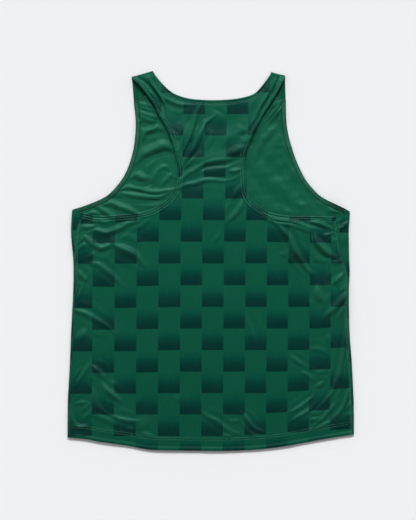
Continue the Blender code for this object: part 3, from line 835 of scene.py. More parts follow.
def nearest(points, curve):
    """Distance of each point from a dense curve, how far along it that is, and its side.

    The side is the distance signed: positive on the left of the way the curve runs.
    """
    start, step = curve[:-1], np.diff(curve, axis=0)
    length = np.linalg.norm(step, axis=1)
    run = run_of(curve)
    distance, along, signed = (np.empty(len(points)) for _ in range(3))
    for first in range(0, len(points), CHUNK):
        some = slice(first, first + CHUNK)
        away = points[some, None] - start
        t = np.clip((away * step).sum(-1) / length**2, 0, 1)
        away = away - t[..., None] * step
        gap = np.linalg.norm(away, axis=-1)
        pick = gap.argmin(axis=1)
        row = np.arange(len(pick))
        distance[some] = gap[row, pick]
        along[some] = run[pick] + t[row, pick] * length[pick]
        cross = step[pick, 0] * away[row, pick, 1] - step[pick, 1] * away[row, pick, 0]
        signed[some] = np.sign(cross) * gap[row, pick]
    return distance, along, signed


def drawn_out(curve):
    """A curve carried on straight past both its ends, for a crease's tails."""
    tail = max(TAIL_SHARE * run_of(curve)[-1], TAIL_LEAST)
    ways = [curve[0] - curve[1], curve[-1] - curve[-2]]
    start, end = (
        place + tail * way / np.linalg.norm(way) for place, way in zip(curve[[0, -1]], ways)
    )
    return np.vstack([start, curve, end])


def crease_height(points, crease):
    """Height of one crease: (1 - q*q) squared on each side of its crest, q being the distance
    from the crest over the flank's reach. Its tails run out to nothing, and a ridge has fainter
    companions beside it, each strongest at its own share of the length."""
    curve = through(crease.route)[0] * MM if len(crease.route) > 2 else np.array(crease.route) * MM
    curve = drawn_out(curve)
    width = CREASE_SPREAD * crease.width * MM
    height = np.zeros(len(points))
    margin = 4 * width
    near = np.all((points > curve.min(0) - margin) & (points < curve.max(0) + margin), axis=1)
    if not near.any():
        return height
    curve = spaced(curve, np.linspace(0, 1, 2 + int(run_of(curve)[-1] / CREASE_STEP)))
    distance, along, signed = nearest(points[near], curve)
    share = along / run_of(curve)[-1]
    end_fade = smoothstep(0, END_SHARE, share) * smoothstep(0, END_SHARE, 1 - share)
    end_fade *= 1 - crease.fades * FADE_SHARE * share
    narrow = TAPER[0] + TAPER[1] * end_fade
    for aside, part, strongest in COMPANIONS if crease.height > 0 else COMPANIONS[:1]:
        crest = signed + (CREST_PLACE - aside) * width * narrow
        reach = np.where(crest > 0, UPPER_REACH, LOWER_REACH) * width * narrow
        q = crest / reach
        along_it = np.exp(-(((share - strongest) / COMPANION_STRETCH) ** 2)) if aside else 1.0
        height[near] += part * along_it * end_fade * np.clip(1 - q * q, 0, 1) ** 2
    slender = min(1.0, run_of(curve)[-1] / (SLENDER * width)) ** 0.75
    return CREASE_RISE * slender * crease.height * MM * height


def rubbed(points, creases):
    """How worked the cloth is about each point: 1 less the product, over the creases, of what
    each leaves untouched. A crease touches a bell round it, more the higher it is."""
    untouched = np.ones(len(points))
    for crease in creases:
        curve = through(crease.route)[0][::RUB_STRIDE] * MM
        reach = RUB_REACH + crease.width * MM
        low, high = curve.min(0) - 2 * reach, curve.max(0) + 2 * reach
        near = np.all((points > low) & (points < high), axis=1)
        away = np.linalg.norm(points[near, None] - curve, axis=-1).min(axis=1)
        touch = min(abs(crease.height) / RUB_FULL, 1) * np.exp(-((away / reach) ** 2))
        untouched[near] *= 1 - RUB_MOST * touch
    return 1 - untouched


def relief(points, creases):
    """Height of all the creases: ridges and troughs each as the cube root of summed cubes, so
    that neighbours keep a valley between them."""
    ridges, troughs = np.zeros(len(points)), np.zeros(len(points))
    for crease in creases:
        height = crease_height(points, crease)
        ridges += np.maximum(height, 0) ** 3
        troughs += np.maximum(-height, 0) ** 3
    return np.cbrt(ridges) - np.cbrt(troughs)


def swell(points, length, height, seed):
    """A soft irregular surface: the sum of plane waves about `length` long, in many directions."""
    rng = np.random.default_rng(seed)
    heading = rng.uniform(0, 2 * np.pi, WAVES)
    number = 2 * np.pi / (length * rng.uniform(0.7, 1.6, WAVES))
    phase = rng.uniform(0, 2 * np.pi, WAVES)
    waves = np.sin(
        points[:, :1] * number * np.cos(heading) + points[:, 1:] * number * np.sin(heading) + phase
    )
    return height * waves.sum(axis=1) / np.sqrt(WAVES)


def back_edge_curves():
    """The back's finished edges on its flat cloth: both armholes and the neck, to the strap ends."""
    arms, ends = {}, {}
    for side in INWARD:
        turn = left_to_right(side, *shoulder(side)[:2])
        arm = crossing(stretch_of(BACK_ARMHOLE, side, "seam", "fold"), *turn)
        end = crossing(stretch_of(BACK_NECK, side, "base", "fold"), *turn)
        arms[side] = np.vstack([arm, strap_end(FRONT_ARMHOLE, side)])
        ends[side] = np.vstack([end, strap_end(FRONT_NECK, side)])
    return with_neck(arms, ends, neck_line(BACK_NECK, BACK_NECK_CENTRE))


def front_edge_curves():
    """The front's finished edges on its flat cloth: both armholes and the neck."""
    arms = {side: stretch_of(FRONT_ARMHOLE, side, "seam", "end") for side in INWARD}
    ends = {side: stretch_of(FRONT_NECK, side, "base", "end") for side in INWARD}
    return with_neck(arms, ends, neck_line(FRONT_NECK, FRONT_NECK_CENTRE))


def with_neck(arms, ends, neck):
    """A panel's even edge curves: its armholes, and its neckline with the ends on both straps."""
    neck = np.vstack([ends["left"][::-1], neck[1:-1], ends["right"]])
    return {name: even(curve) for name, curve in {**arms, "neck": neck}.items()}


def even(curve):
    """A dense curve with points CURVE_STEP apart."""
    return spaced(curve, np.linspace(0, 1, 1 + int(run_of(curve)[-1] / CURVE_STEP)))


def from_edge(points, curve):
    """Distance of each point from an edge, or EDGE_REACH where that is more."""
    near = np.zeros(len(points), bool)
    for some in np.array_split(curve, EDGE_PARTS):
        low, high = some.min(0) - EDGE_REACH, some.max(0) + EDGE_REACH
        near |= np.all((points > low) & (points < high), axis=1)
    distance = np.full(len(points), EDGE_REACH)
    distance[near] = np.minimum(nearest(points[near], curve)[0], EDGE_REACH)
    return distance


def from_armholes(points, edges):
    """Distance of each point from the nearer of a panel's two armhole edges."""
    return np.minimum(from_edge(points, edges["left"]), from_edge(points, edges["right"]))


BACK_EDGES = back_edge_curves()
FRONT_EDGES = front_edge_curves()
SHOULDER_SEAMS = [
    even(np.array([spot(FRONT_ARMHOLE, side, "end"), spot(FRONT_NECK, side, "end")]))
    for side in INWARD
]


def top_height(plan):
    """Height of the creases, seams and edges of whatever lies on top, over its even layer."""
    x, y = plan.T
    height = relief(plan, BACK_CREASES) + RIDE_OVER * relief(plan, FRONT_CREASES)
    height += sum(swell(plan, *each) for each in TOP_SWELLS)
    height += smoothstep(*YOKE_STRETCH, y) * swell(plan, *YOKE_SWELL)
    arm = from_armholes(plan, BACK_EDGES)
    lifted = smoothstep(*LIFT_STRETCH, y)
    height += (EDGE_UP + LIFT * lifted) * (1 - smoothstep(0, LIFT_REACH, arm))
    end = ARMHOLE_ROWS[1] + TURNED_PAST
    height += TURNED_EDGE * (1 - smoothstep(end, end + TURNED_STEP, arm))
    height += (1 + lifted) * ROLL * bell(arm - ROLL_PLACE, ROLL_REACH)
    for place in ARMHOLE_ROWS:
        height -= ROW_PULL * bell(arm - place, ROW_REACH)
    height -= (LIP_DROP + LIFTED_DROP * lifted) * np.clip(1 - arm / LIP, 0, 1) ** 2
    neck = from_edge(plan, BACK_EDGES["neck"])
    height += ROLL * bell(neck - ROLL_PLACE, ROLL_REACH)
    for place in NECK_ROWS:
        height -= ROW_PULL * bell(neck - place, ROW_REACH)
    inside = np.minimum(x - seam_x("left", y), seam_x("right", y) - x)
    height += SEAM_RIDGE * bell(inside - SIDE_RIDGE[0], SIDE_RIDGE[1])
    up = y - hem_height(x)
    height += HEM_TURNED * (1 - smoothstep(HEM_ROWS[1], HEM_ROWS[1] + TURNED_STEP, up))
    height += HEM_ROLL * bell(up - HEM_ROLL_PLACE, HEM_ROLL_REACH)
    fall = TOP_LAYER - FLOOR_LAYER - OPENING_SPARE
    return resting(height - fall * within_neck(plan), plan)


def bell(away, reach):
    """1 in the middle, 0 from `reach` on: (1 - q*q) squared, q being the way off over reach."""
    return np.clip(1 - (away / reach) ** 2, 0, 1) ** 2


def within_neck(plan):
    """1 where the front's neck opening leaves nothing under the back, which lies lower there."""
    _, _, inside = nearest(plan, FRONT_EDGES["neck"])
    return smoothstep(0, OPENING_FADE, inside) * (plan[:, 1] > OPENING_FROM)


def resting(height, plan):
    """Keeps the top layer off what it rests on, by a smooth maximum of the two heights."""
    least = FLOOR_LAYER - TOP_LAYER + 1.5 * CLOTH * (1 - within_neck(plan))
    return least + REST_SOFT * np.logaddexp(0, (height - least) / REST_SOFT)


def floor_height(plan):
    """Height of the front's lower layer over the surface it lies on."""
    x, y = plan.T
    arm = from_armholes(plan, FRONT_EDGES)
    height = np.maximum(relief(plan, FRONT_CREASES), -SINK) + SINK
    height += TURNED_EDGE * (1 - smoothstep(FRONT_ROWS[1], FRONT_ROWS[1] + BAND_STEP, arm))
    roll, trench = (
        rise * bell(arm - place, reach) for rise, place, reach in (BAND_ROLL, BAND_TRENCH)
    )
    height += roll - trench
    corner = smoothstep(*CORNER_ACROSS, x) * smoothstep(*CORNER_UP, y)
    folds = CORNER_RISE * bell(arm, CORNER_REACH)
    folds = folds + CORNER_RISE * bell(arm - CORNER_FOLD[0], CORNER_FOLD[1])
    height += corner * MM * folds
    height += BAND_UP * (1 - smoothstep(*BAND_STRETCH, y)) * (1 - smoothstep(0, BAND_REACH, arm))
    for seam in SHOULDER_SEAMS:
        height += SEAM_RIDGE * bell(from_edge(plan, seam), SHOULDER_REACH)
    racer = from_armholes(plan, BACK_EDGES)
    high = smoothstep(*PUSHED_STRETCH, y) * (arm > PUSHED_CLEAR)
    height += PUSHED_UP * high * bell(racer - PUSHED_PLACE, PUSHED_REACH)
    waves = sum(swell(plan, *each) for each in INSIDE_SWELLS)
    waves *= 1 + RIGHT_GAIN * smoothstep(*RIGHT_STRETCH, x)
    height += SHARED * np.maximum(relief(plan, BACK_CREASES), 0)
    soft = smoothstep(*INSIDE_STRETCH, y) * (WAVE_SPARE + waves)
    return np.maximum(height + FLOOR_SPARE + soft, 0)


def turned(distance):
    """Plan shift, rise and turning angle of cloth this far past where it starts to turn over."""
    angle = np.clip(distance / FOLD_RADIUS, 0, np.pi)
    shift = FOLD_RADIUS * np.sin(angle) - np.maximum(distance - HALF_TURN, 0)
    return shift, FOLD_RADIUS * (1 - np.cos(angle)), angle


def lay_front(flat):
    """The front panel's middle surface: on the floor, with its sides turned up and in on top."""
    x, y = flat.T
    left, right = (turn_x(side, y) for side in INWARD)
    past = np.maximum(np.maximum(left - x, x - right), 0)
    shift, rise, _ = turned(past)
    middle = np.clip(x, left, right)
    plan = np.column_stack([middle + np.sign(x - middle) * shift, y])
    share = smoothstep(0, HALF_TURN, past)
    off_fold = smoothstep(*SIDE_EASE, np.minimum(x - left, right - x))
    below = (1 - share) * floor_height(plan) * off_fold
    above = share * top_height(plan)
    return np.column_stack([plan, FLOOR_LAYER + rise + below + above])


def lay_back(flat):
    """The back panel's middle surface: on top, with its strap ends turned over and under."""
    base = np.column_stack([flat, np.full(len(flat), TOP_LAYER)])
    out = np.zeros_like(base)
    out[:, 2] = 1.0
    share = np.ones(len(flat))
    for side, inward in INWARD.items():
        axis, _, ahead = shoulder(side)
        upper = (flat[:, 0] * inward < 0) & (flat[:, 1] > STRAPS_FROM)
        past = (flat - axis) @ ahead * upper
        share = np.where(upper, 1 - SHOULDER_FLAT * smoothstep(*SHOULDER_EASE, past), share)
        share = np.where(upper, share * (1 - smoothstep(0, HALF_TURN, past)), share)
        past = np.maximum(past, 0)
        shift, rise, angle = turned(past)
        base[:, :2] += (shift - past)[:, None] * ahead
        base[:, 2] -= rise
        out[:, :2] += (np.sin(angle) * upper)[:, None] * ahead
        out[:, 2] = np.where(upper, np.cos(angle), out[:, 2])
    return base + (share * top_height(flat))[:, None] * out


def joined(blocks):
    """One grid from blocks that share edge points.

    Returns its points, its four-sided cells, the double-sized cells of every second row and
    column, and the open edges of those as triples of points.
    """
    points, cells, doubles, sides = [], [], [], []
    for block in blocks:
        rows, columns = block.shape[:2]
        number = np.arange(rows * columns).reshape(rows, columns) + sum(map(len, points))
        for stride, found in ((1, cells), (2, doubles)):
            some = number[::stride, ::stride]
            corners = [some[:-1, :-1], some[:-1, 1:], some[1:, 1:], some[1:, :-1]]
            found.append(np.stack(corners, axis=-1).reshape(-1, 4))
        low, mid, high = slice(0, -2, 2), slice(1, -1, 2), slice(2, None, 2)
        around = (
            (number[low, low], number[low, mid], number[low, high]),
            (number[low, high], number[mid, high], number[high, high]),
            (number[high, high], number[high, mid], number[high, low]),
            (number[high, low], number[mid, low], number[low, low]),
        )
        sides += [np.stack(triple, axis=-1).reshape(-1, 3) for triple in around]
        points.append(block.reshape(-1, 2))
    points = np.vstack(points)
    _, first, index = np.unique(
        np.round(points, 7), axis=0, return_index=True, return_inverse=True
    )
    index = index.reshape(-1)
    sides = index[np.vstack(sides)]
    ends = np.sort(sides[:, [0, 2]], axis=1)
    _, which, count = np.unique(ends, axis=0, return_inverse=True, return_counts=True)
    open_sides = sides[count[which.reshape(-1)] == 1]
    return points[first], index[np.vstack(cells)], index[np.vstack(doubles)], open_sides


def normals_of(points, cells):
    """Unit normals at the points, each the mean of its cells' normals."""
    corners = points[cells]
    face = np.cross(corners[:, 2] - corners[:, 0], corners[:, 3] - corners[:, 1])
    total = np.zeros_like(points)
    for corner in range(4):
        np.add.at(total, cells[:, corner], face)
    return total / np.maximum(np.linalg.norm(total, axis=1, keepdims=True), 1e-12)


def placed(name, data):
    """An object of that name in the scene, at the origin."""
    piece = bpy.data.objects.new(name, data)
    bpy.context.scene.collection.objects.link(piece)
    return piece


def shell(name, blocks, lay, pattern, edges, worked, finishes):
    """A panel as a closed thin shell: a fine skin, a skin with double cells, and a rim.

    The fine skin is the one that shows from above. Both carry the map of the print, and each point its
    distances from the finished edges and from the hem, how worked the cloth is and the painted shadow
    beside the straps' lifted edges. Returns the object with the flat cloth's extent and area.
    """
    flat, cells, doubles, open_sides = joined(blocks)
    middle = lay(flat)
    normal = normals_of(middle, cells)
    under = np.unique(doubles)
    place = np.zeros(len(flat), int)
    place[under] = len(flat) + np.arange(len(under))
    points = np.vstack([middle + CLOTH / 2 * normal, (middle - CLOTH / 2 * normal)[under]])
    start, mid, end = open_sides.T
    rim = np.column_stack([end, mid, start, place[start], place[end]])
    faces = cells.tolist() + place[doubles[:, ::-1]].tolist() + rim.tolist()
    mesh = bpy.data.meshes.new(name)
    mesh.from_pydata(points.tolist(), [], faces)
    which = np.repeat([0, 1, 1], [len(cells), len(doubles), len(rim)])
    for finish in finishes:
        mesh.materials.append(finish)
    mesh.polygons.foreach_set("material_index", which.astype(np.int32))
    whole = np.vstack([flat, flat[under]])
    corner = np.empty(len(mesh.loops), np.int32)
    mesh.loops.foreach_get("vertex_index", corner)
    layer = mesh.uv_layers.new(name="print")
    layer.data.foreach_set("uv", pattern(whole)[corner].astype(np.float32).ravel())
    for title, value in (
        ("armhole", from_armholes(flat, edges)),
        ("neck", from_edge(flat, edges["neck"])),
        ("hem", flat[:, 1] - hem_height(flat[:, 0])),
        ("worked", worked(flat)),
        ("painted_strap_shadow", painted_strap_shadow(middle[:, :2])),
    ):
        value = np.concatenate([value, value[under]])
        mesh.attributes.new(title, "FLOAT", "POINT").data.foreach_set(
            "value", value.astype(np.float32)
        )
    mesh.shade_smooth()
    mesh.set_sharp_from_angle(angle=np.radians(60))
    side = np.linalg.norm(np.diff(flat[cells][:, [0, 1, 2, 3, 0]], axis=1), axis=2)
    extent = flat.max(0) - flat.min(0)
    area = (side[:, 0] + side[:, 2]) / 2 @ ((side[:, 1] + side[:, 3]) / 2)
    return placed(name, mesh), extent, area


def back_worked(flat):
    """How worked the back is: about its creases, and all over the yoke that hands hold."""
    yoke = HANDLED_YOKE * smoothstep(*HANDLED_STRETCH, flat[:, 1])
    return 1 - (1 - rubbed(flat, BACK_CREASES)) * (1 - yoke)


def front_worked(flat):
    """How worked the front's inside is: evenly, and more about its creases."""
    return 1 - (1 - rubbed(flat, FRONT_CREASES)) * (1 - HANDLED_INSIDE)


def painted_strap_shadow(plan):
    """Painted shadow on the lower layer beside the straps' lifted edges, where little light reaches: a
    bell across the groove there, for the upper part of the straps."""
    away = from_armholes(plan, BACK_EDGES)
    return smoothstep(*SHADOW_STRETCH, plan[:, 1]) * bell(away - SHADOW_PLACE, SHADOW_REACH)


def back_print(flat):
    """Where the back's cloth lies in the print: pulled askew and up at the sides, bowed in the
    middle, sagging below the underarms, and taken up by the fold across the yoke."""
    x, y = flat.T
    askew = np.interp(y, *ASKEW.T)
    bow = BOW * np.clip(1 - (x / BOW_HALF) ** 2, 0, 1)
    taken_up = TAKEN_UP * smoothstep(*TAKEN_UP_STRETCH, y)
    pulled = sum(
        each.most * smoothstep(each.start, each.end, x) * np.clip(y / each.full, 0, each.limit)
        for each in PULLS
    )
    sag = SAG + SAG_LEFT * smoothstep(*SAG_ACROSS, x)
    sag *= smoothstep(*SAG_TOP, y) * smoothstep(*SAG_FOOT, y)
    drawn_up = DRAWN_UP * np.maximum(-y - DRAWN_FROM - DRAWN_SLANT * (DRAWN_SIDE - x), 0)
    return np.column_stack([x - askew - bow, y + taken_up + pulled + sag - drawn_up])


def front_print(flat):
    """Where the front's cloth lies in the print, which was cut to its own place in the repeat."""
    x, y = flat.T
    across, down = (np.where(x > 0, right, left) for left, right in (FRONT_SCALE, FRONT_DOWN))
    return np.column_stack([x * across + FRONT_SHIFT, y - down])


def linear(colour):
    """A colour from sRGB hex to linear light."""
    value = np.array([int(colour[i : i + 2], 16) for i in (1, 3, 5)]) / 255
    return tuple(np.where(value <= 0.04045, value / 12.92, ((value + 0.055) / 1.055) ** 2.4))


def add(tree, kind, inputs=(), **settings):
    """Adds a node with its settings, and sets or links its inputs, which come in order or in a
    dict by their names. A node as an input stands for its first output."""
    node = tree.nodes.new("ShaderNode" + kind)
    for name, value in settings.items():
        setattr(node, name, value)
    for socket, value in (inputs if isinstance(inputs, dict) else dict(enumerate(inputs))).items():
        if isinstance(value, bpy.types.Node):
            value = value.outputs[0]
        if isinstance(value, bpy.types.NodeSocket):
            tree.links.new(value, node.inputs[socket])
        else:
            node.inputs[socket].default_value = value
    return node


def fill(ramp, stops):
    """Gives a colour ramp its stops, each a place and a linear colour, in rising order."""
    elements = ramp.color_ramp.elements
    for element, (place, colour) in zip(list(elements), stops):
        element.position, element.color = place, (*colour, 1.0)
    for place, colour in stops[2:]:
        elements.new(place).color = (*colour, 1.0)


def new_finish(name, roughness, gloss):
    """A material with its Principled shader's own constants set: roughness and gloss colour."""
    finish = bpy.data.materials.new(name)
    finish.use_nodes = True
    tree = finish.node_tree
    shader = tree.nodes["Principled BSDF"]
    shader.inputs["Roughness"].default_value = roughness
    shader.inputs["IOR"].default_value = REFRACTION
    shader.inputs["Specular IOR Level"].default_value = GLOSS_LEVEL
    shader.inputs["Specular Tint"].default_value = (*linear(gloss), 1.0)
    return finish, tree, shader


def along_wales(tree, across, along, detail=2.0):
    """Noise drawn out along the knit's wales, its grain about across by along in metres."""
    place = add(tree, "UVMap", uv_map="print")
    place = add(tree, "Mapping", {"Vector": place, "Scale": (1 / across, 1 / along, 1.0)})
    return add(tree, "TexNoise", {"Vector": place, "Scale": 1.0, "Detail": detail})


def groove(tree, title, place):
    """1 along a sewn row, `place` in from the edge that the attribute measures, 0 off it."""
    distance = add(tree, "Attribute", attribute_name=title).outputs["Fac"]
    away = add(tree, "Math", (distance, place), operation="SUBTRACT")
    away = add(tree, "Math", (away,), operation="ABSOLUTE")
    ends = (away, 0.0, ROW_HALF, 1.0, 0.0)
    return add(tree, "MapRange", ends, interpolation_type="SMOOTHSTEP")


def knit_surface(tree, shader, colour, rows, row_shade, cloth):
    """Finishes a knit: its colour with faint wale streaks, painted shade in the sewn rows' grooves and
    painted light and shade that darkens it towards the hem, a bump of wales and pulled-in rows, and a
    gloss that is smooth where the cloth lies as it was pressed and matt in fine streaks where it has
    been worked."""
    sewn = 0.0
    for title, place in rows:
        sewn = add(tree, "Math", (sewn, groove(tree, title, place)), operation="MAXIMUM")
    tone = TONE
    for noise, most in (
        (along_wales(tree, WALE_STREAK, STREAK_LENGTH), STREAK_TONE),
        (along_wales(tree, *CLOUDS, 1.0), CLOUD_TONE),
    ):
        part = add(tree, "Math", (noise, most), operation="MULTIPLY")
        tone = add(tree, "Math", (tone, part), operation="ADD")
    # painted shade in the sewn rows' grooves
    shade = add(tree, "Math", (sewn, row_shade), operation="MULTIPLY")
    shade = add(tree, "Math", (1.0, shade), operation="SUBTRACT")
    tone = add(tree, "Math", (tone, shade), operation="MULTIPLY")
    place = add(tree, "TexCoord").outputs["Object"]
    up = add(tree, "SeparateXYZ", (place,)).outputs["Y"]
    # painted light and shade: darker towards the hem, lighter towards the neck
    for ends in PAINTED_FALL_TO_HEM:
        painted_fall = add(tree, "MapRange", (up, *ends))
        tone = add(tree, "Math", (tone, painted_fall), operation="MULTIPLY")
    shaded = add(tree, "VectorMath", {"Vector": colour, "Scale": tone}, operation="SCALE")
    tree.links.new(shaded.outputs[0], shader.inputs["Base Color"])
    wales = along_wales(tree, WALE_STREAK / 2, BUMP_LENGTH)
    wales = add(tree, "Math", (wales, WALE_HEIGHT), operation="MULTIPLY")
    sunk = add(tree, "Math", (sewn, ROW_DEPTH), operation="MULTIPLY")
    height = add(tree, "Math", (wales, sunk), operation="SUBTRACT")
    bump = add(tree, "Bump", {"Strength": 1.0, "Distance": 1.0, "Height": height})
    tree.links.new(bump.outputs[0], shader.inputs["Normal"])
    worked = add(tree, "Attribute", attribute_name="worked").outputs["Fac"]
    worked = add(tree, "Math", (worked, WORKED_GAIN), operation="MULTIPLY")
    strands = along_wales(tree, WALE_STREAK / 3, STRAND_LENGTH)
    strands = add(tree, "MapRange", (strands, *STRANDS))
    matt = add(tree, "Math", (worked, strands), operation="MULTIPLY")
    matt = add(tree, "MapRange", (matt, 0.0, 1.0, cloth.roughness, cloth.worked))
    tree.links.new(matt.outputs[0], shader.inputs["Roughness"])


def printed_tricot(cloth):
    """Polyester tricot with a sublimated check, warp-knit and calendered: a satin face whose
    gloss only shows on the creases, and a print that fades from green to near black down each
    block, a little streaky along the wales, and ends sharply."""
    finish, tree, shader = new_finish("printed_polyester_tricot", cloth.roughness, GLOSS)
    place = add(tree, "SeparateXYZ", (add(tree, "UVMap", uv_map="print"),)).outputs
    column = add(tree, "Math", (place["X"], GREEN_EDGE_U), operation="SUBTRACT")
    column = add(tree, "Math", (column, cloth.column), operation="DIVIDE")
    column = add(tree, "Math", (column,), operation="FLOOR")
    second = add(tree, "Math", (column, 2.0), operation="FLOORED_MODULO")
    first = add(tree, "Math", (1.0, second), operation="SUBTRACT")
    half_drop = add(tree, "Math", (first, 0.5), operation="MULTIPLY")
    down = add(tree, "Math", (DARK_EDGE_V, place["Y"]), operation="SUBTRACT")
    down = add(tree, "Math", (down, cloth.repeat), operation="DIVIDE")
    down = add(tree, "Math", (down, half_drop), operation="ADD")
    down = add(tree, "Math", (down,), operation="FRACT")
    streaks = along_wales(tree, WALE_STREAK, PRINT_STREAK)
    streaks = add(tree, "Math", (streaks, 0.5), operation="SUBTRACT")
    streaks = add(tree, "Math", (streaks, PRINT_RAGGED), operation="MULTIPLY")
    fade = add(tree, "ValToRGB", (add(tree, "Math", (down, streaks), operation="ADD"),))
    fill(fade, [(share, linear(colour)) for share, colour in PRINT_FADE])
    edges = {"armhole": ARMHOLE_ROWS, "neck": NECK_ROWS, "hem": HEM_ROWS}
    rows = [(title, place) for title, places in edges.items() for place in places]
    knit_surface(tree, shader, fade.outputs["Color"], rows, PRINT_ROW_SHADE, cloth)
    return finish


def plain_tricot(cloth):
    """The same tricot's inside, dyed through: plain mid green, a shade lighter than the face, which
    shows where the armholes' edges are turned in, and darker towards the right underarm's corner. A
    painted shadow darkens it beside the straps' lifted edges."""
    finish, tree, shader = new_finish("plain_polyester_tricot", cloth.roughness, GLOSS)
    distance = add(tree, "Attribute", attribute_name="armhole").outputs["Fac"]
    turned_in = add(tree, "MapRange", (distance, *TURNED_ENDS, 1.0, 0.0)).outputs[0]
    place = add(tree, "TexCoord").outputs["Object"]
    x = add(tree, "SeparateXYZ", (place,)).outputs["X"]
    # darker towards the right underarm's corner
    in_corner = add(tree, "MapRange", (x, *DARK_FROM)).outputs[0]
    face = add(
        tree,
        "Mix",
        {"Factor": in_corner, "A": (*linear(TURNED_IN), 1.0), "B": (*linear(TURNED_DARK), 1.0)},
        data_type="RGBA",
    ).outputs["Result"]
    both = {"Factor": turned_in, "A": (*cloth.inside, 1.0), "B": face}
    colour = add(tree, "Mix", both, data_type="RGBA").outputs["Result"]
    # painted shadow beside the straps' lifted edges
    strap_shadow = add(tree, "Attribute", attribute_name="painted_strap_shadow").outputs["Fac"]
    strap_shadow = add(tree, "Math", (strap_shadow, STRAP_SHADOW_DEPTH), operation="MULTIPLY")
    light = add(tree, "Math", (1.0, strap_shadow), operation="SUBTRACT")
    colour = add(tree, "VectorMath", {"Vector": colour, "Scale": light}, operation="SCALE")
    rows = [("armhole", FRONT_ROWS[1] + INSIDE_ROW), ("hem", HEM_ROWS[1])]
    knit_surface(tree, shader, colour, rows, INSIDE_ROW_SHADE, cloth)
    return finish


def sewing_thread(stitching):
    """Spun polyester sewing thread in the cloth's green: a fine bright line with a soft sheen, its
    colour mixed at random between a painted highlight on the plies and painted shade between them.
    """
    finish, tree, shader = new_finish("sewing_thread", 0.45, GLOSS)
    place = add(tree, "TexCoord").outputs["Object"]
    ply_highlight = add(tree, "TexNoise", {"Vector": place, "Scale": 900.0, "Detail": 1.0})
    both = {"Factor": ply_highlight, "A": (*stitching.shade, 1.0), "B": (*stitching.colour, 1.0)}
    colour = add(tree, "Mix", both, data_type="RGBA").outputs["Result"]
    tree.links.new(colour, shader.inputs["Base Color"])
    return finish


def shared(name, make, *settings):
    """The material of that name, made once."""
    return bpy.data.materials.get(name) or make(*settings)


def tricots(cloth):
    """The printed face and the plain inside."""
    return [
        shared("printed_polyester_tricot", printed_tricot, cloth),
        shared("plain_polyester_tricot", plain_tricot, cloth),
    ]


def on_cloth(lay, flat, above):
    """Places `above` a laid cloth's middle surface, and the surface's upward normals there."""
    ways = [np.array([SLOPE_STEP, 0.0]), np.array([0.0, SLOPE_STEP])]
    count = len(flat)
    around = lay(np.vstack([flat] + [flat + sign * way for way in ways for sign in (1, -1)]))
    middle, right, left, up, down = (around[i * count : (i + 1) * count] for i in range(5))
    normal = np.cross(right - left, up - down)
    normal /= np.linalg.norm(normal, axis=1, keepdims=True)
    return middle + above * normal, normal


def inset(curve, run, distance):
    """Places beside a dense curve, at a run along it and a distance to its left."""
    ahead = at_run(curve, run + WAY_STEP) - at_run(curve, run - WAY_STEP)
    ahead /= np.linalg.norm(ahead, axis=1, keepdims=True)
    return at_run(curve, run) + distance * np.column_stack([-ahead[:, 1], ahead[:, 0]])


def needle_rows(curve, places, first, last, stitching):
    """Flat starts and ends of the stitches of needle rows, between two runs along an edge."""
    start = np.arange(first, last - stitching.length, stitching.length * STITCH_PITCH)
    return [
        (inset(curve, start, place), inset(curve, start + stitching.length, place))
        for place in places
    ]


def threads(name, laid, rows, stitching, thickness=1.0):
    """Short lengths of thread on laid cloth, joined in one mesh, from their flat starts and ends.

    Each is a bent capsule: rings of points round the line from its start to its end, whose
    radius follows THREAD_RADII and whose height above the cloth follows THREAD_RISE.
    """
    starts, ends = (np.vstack(column) for column in zip(*rows))
    radius = stitching.radius * thickness
    begin, normal = on_cloth(laid, starts, CLOTH / 2)
    finish_at, _ = on_cloth(laid, ends, CLOTH / 2)
    axis = finish_at - begin
    across = np.cross(axis, normal)
    across /= np.linalg.norm(across, axis=1, keepdims=True)
    share = np.linspace(0, 1, len(THREAD_RADII))
    turn = np.linspace(0, 2 * np.pi, THREAD_SIDES, endpoint=False)
    rings = len(THREAD_RADII)
    centre = begin[:, None] + share[None, :, None] * axis[:, None]
    centre = centre + radius * np.array(THREAD_RISE)[None, :, None] * normal[:, None]
    spread = radius * np.array(THREAD_RADII)[None, :, None, None]
    round_it = (
        np.cos(turn)[None, None, :, None] * across[:, None, None]
        + np.sin(turn)[None, None, :, None] * normal[:, None, None]
    )
    points = (centre[:, :, None] + spread * round_it).reshape(-1, 3)
    ring = np.arange(rings * THREAD_SIDES).reshape(rings, THREAD_SIDES)
    after = np.roll(ring, -1, axis=1)
    sides = np.stack([ring[:-1], ring[1:], after[1:], after[:-1]], axis=-1).reshape(-1, 4)
    first = np.arange(len(starts))[:, None, None] * rings * THREAD_SIDES
    faces = (sides[None] + first).reshape(-1, 4).tolist()
    faces += (ring[0][None] + first[:, 0]).tolist() + (ring[-1][::-1][None] + first[:, 0]).tolist()
    mesh = bpy.data.meshes.new(name)
    mesh.from_pydata(points.tolist(), [], faces)
    mesh.materials.append(shared("sewing_thread", sewing_thread, stitching))
    mesh.shade_smooth()
    piece = placed(name, mesh)
    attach(piece, "root")


class SingletCloth(bpy.types.PropertyGroup):
    """The tricot and its print."""

    column: FloatProperty(
        name="Column", description="Width of the check's columns", default=40.3 * MM, unit="LENGTH"
    )
    repeat: FloatProperty(
        name="Repeat", description="Height of the check's repeat", default=80.3 * MM, unit="LENGTH"
    )
    roughness: FloatProperty(
        name="Roughness", description="How matt the pressed cloth is", default=0.4, subtype="FACTOR"
    )
    worked: FloatProperty(
        name="Worked", description="How matt the worked cloth is", default=0.52, subtype="FACTOR"
    )
    inside: FloatVectorProperty(
        name="Inside",
        description="Colour of the cloth's plain inside",
        default=linear("#0D533C"),
        subtype="COLOR",
    )


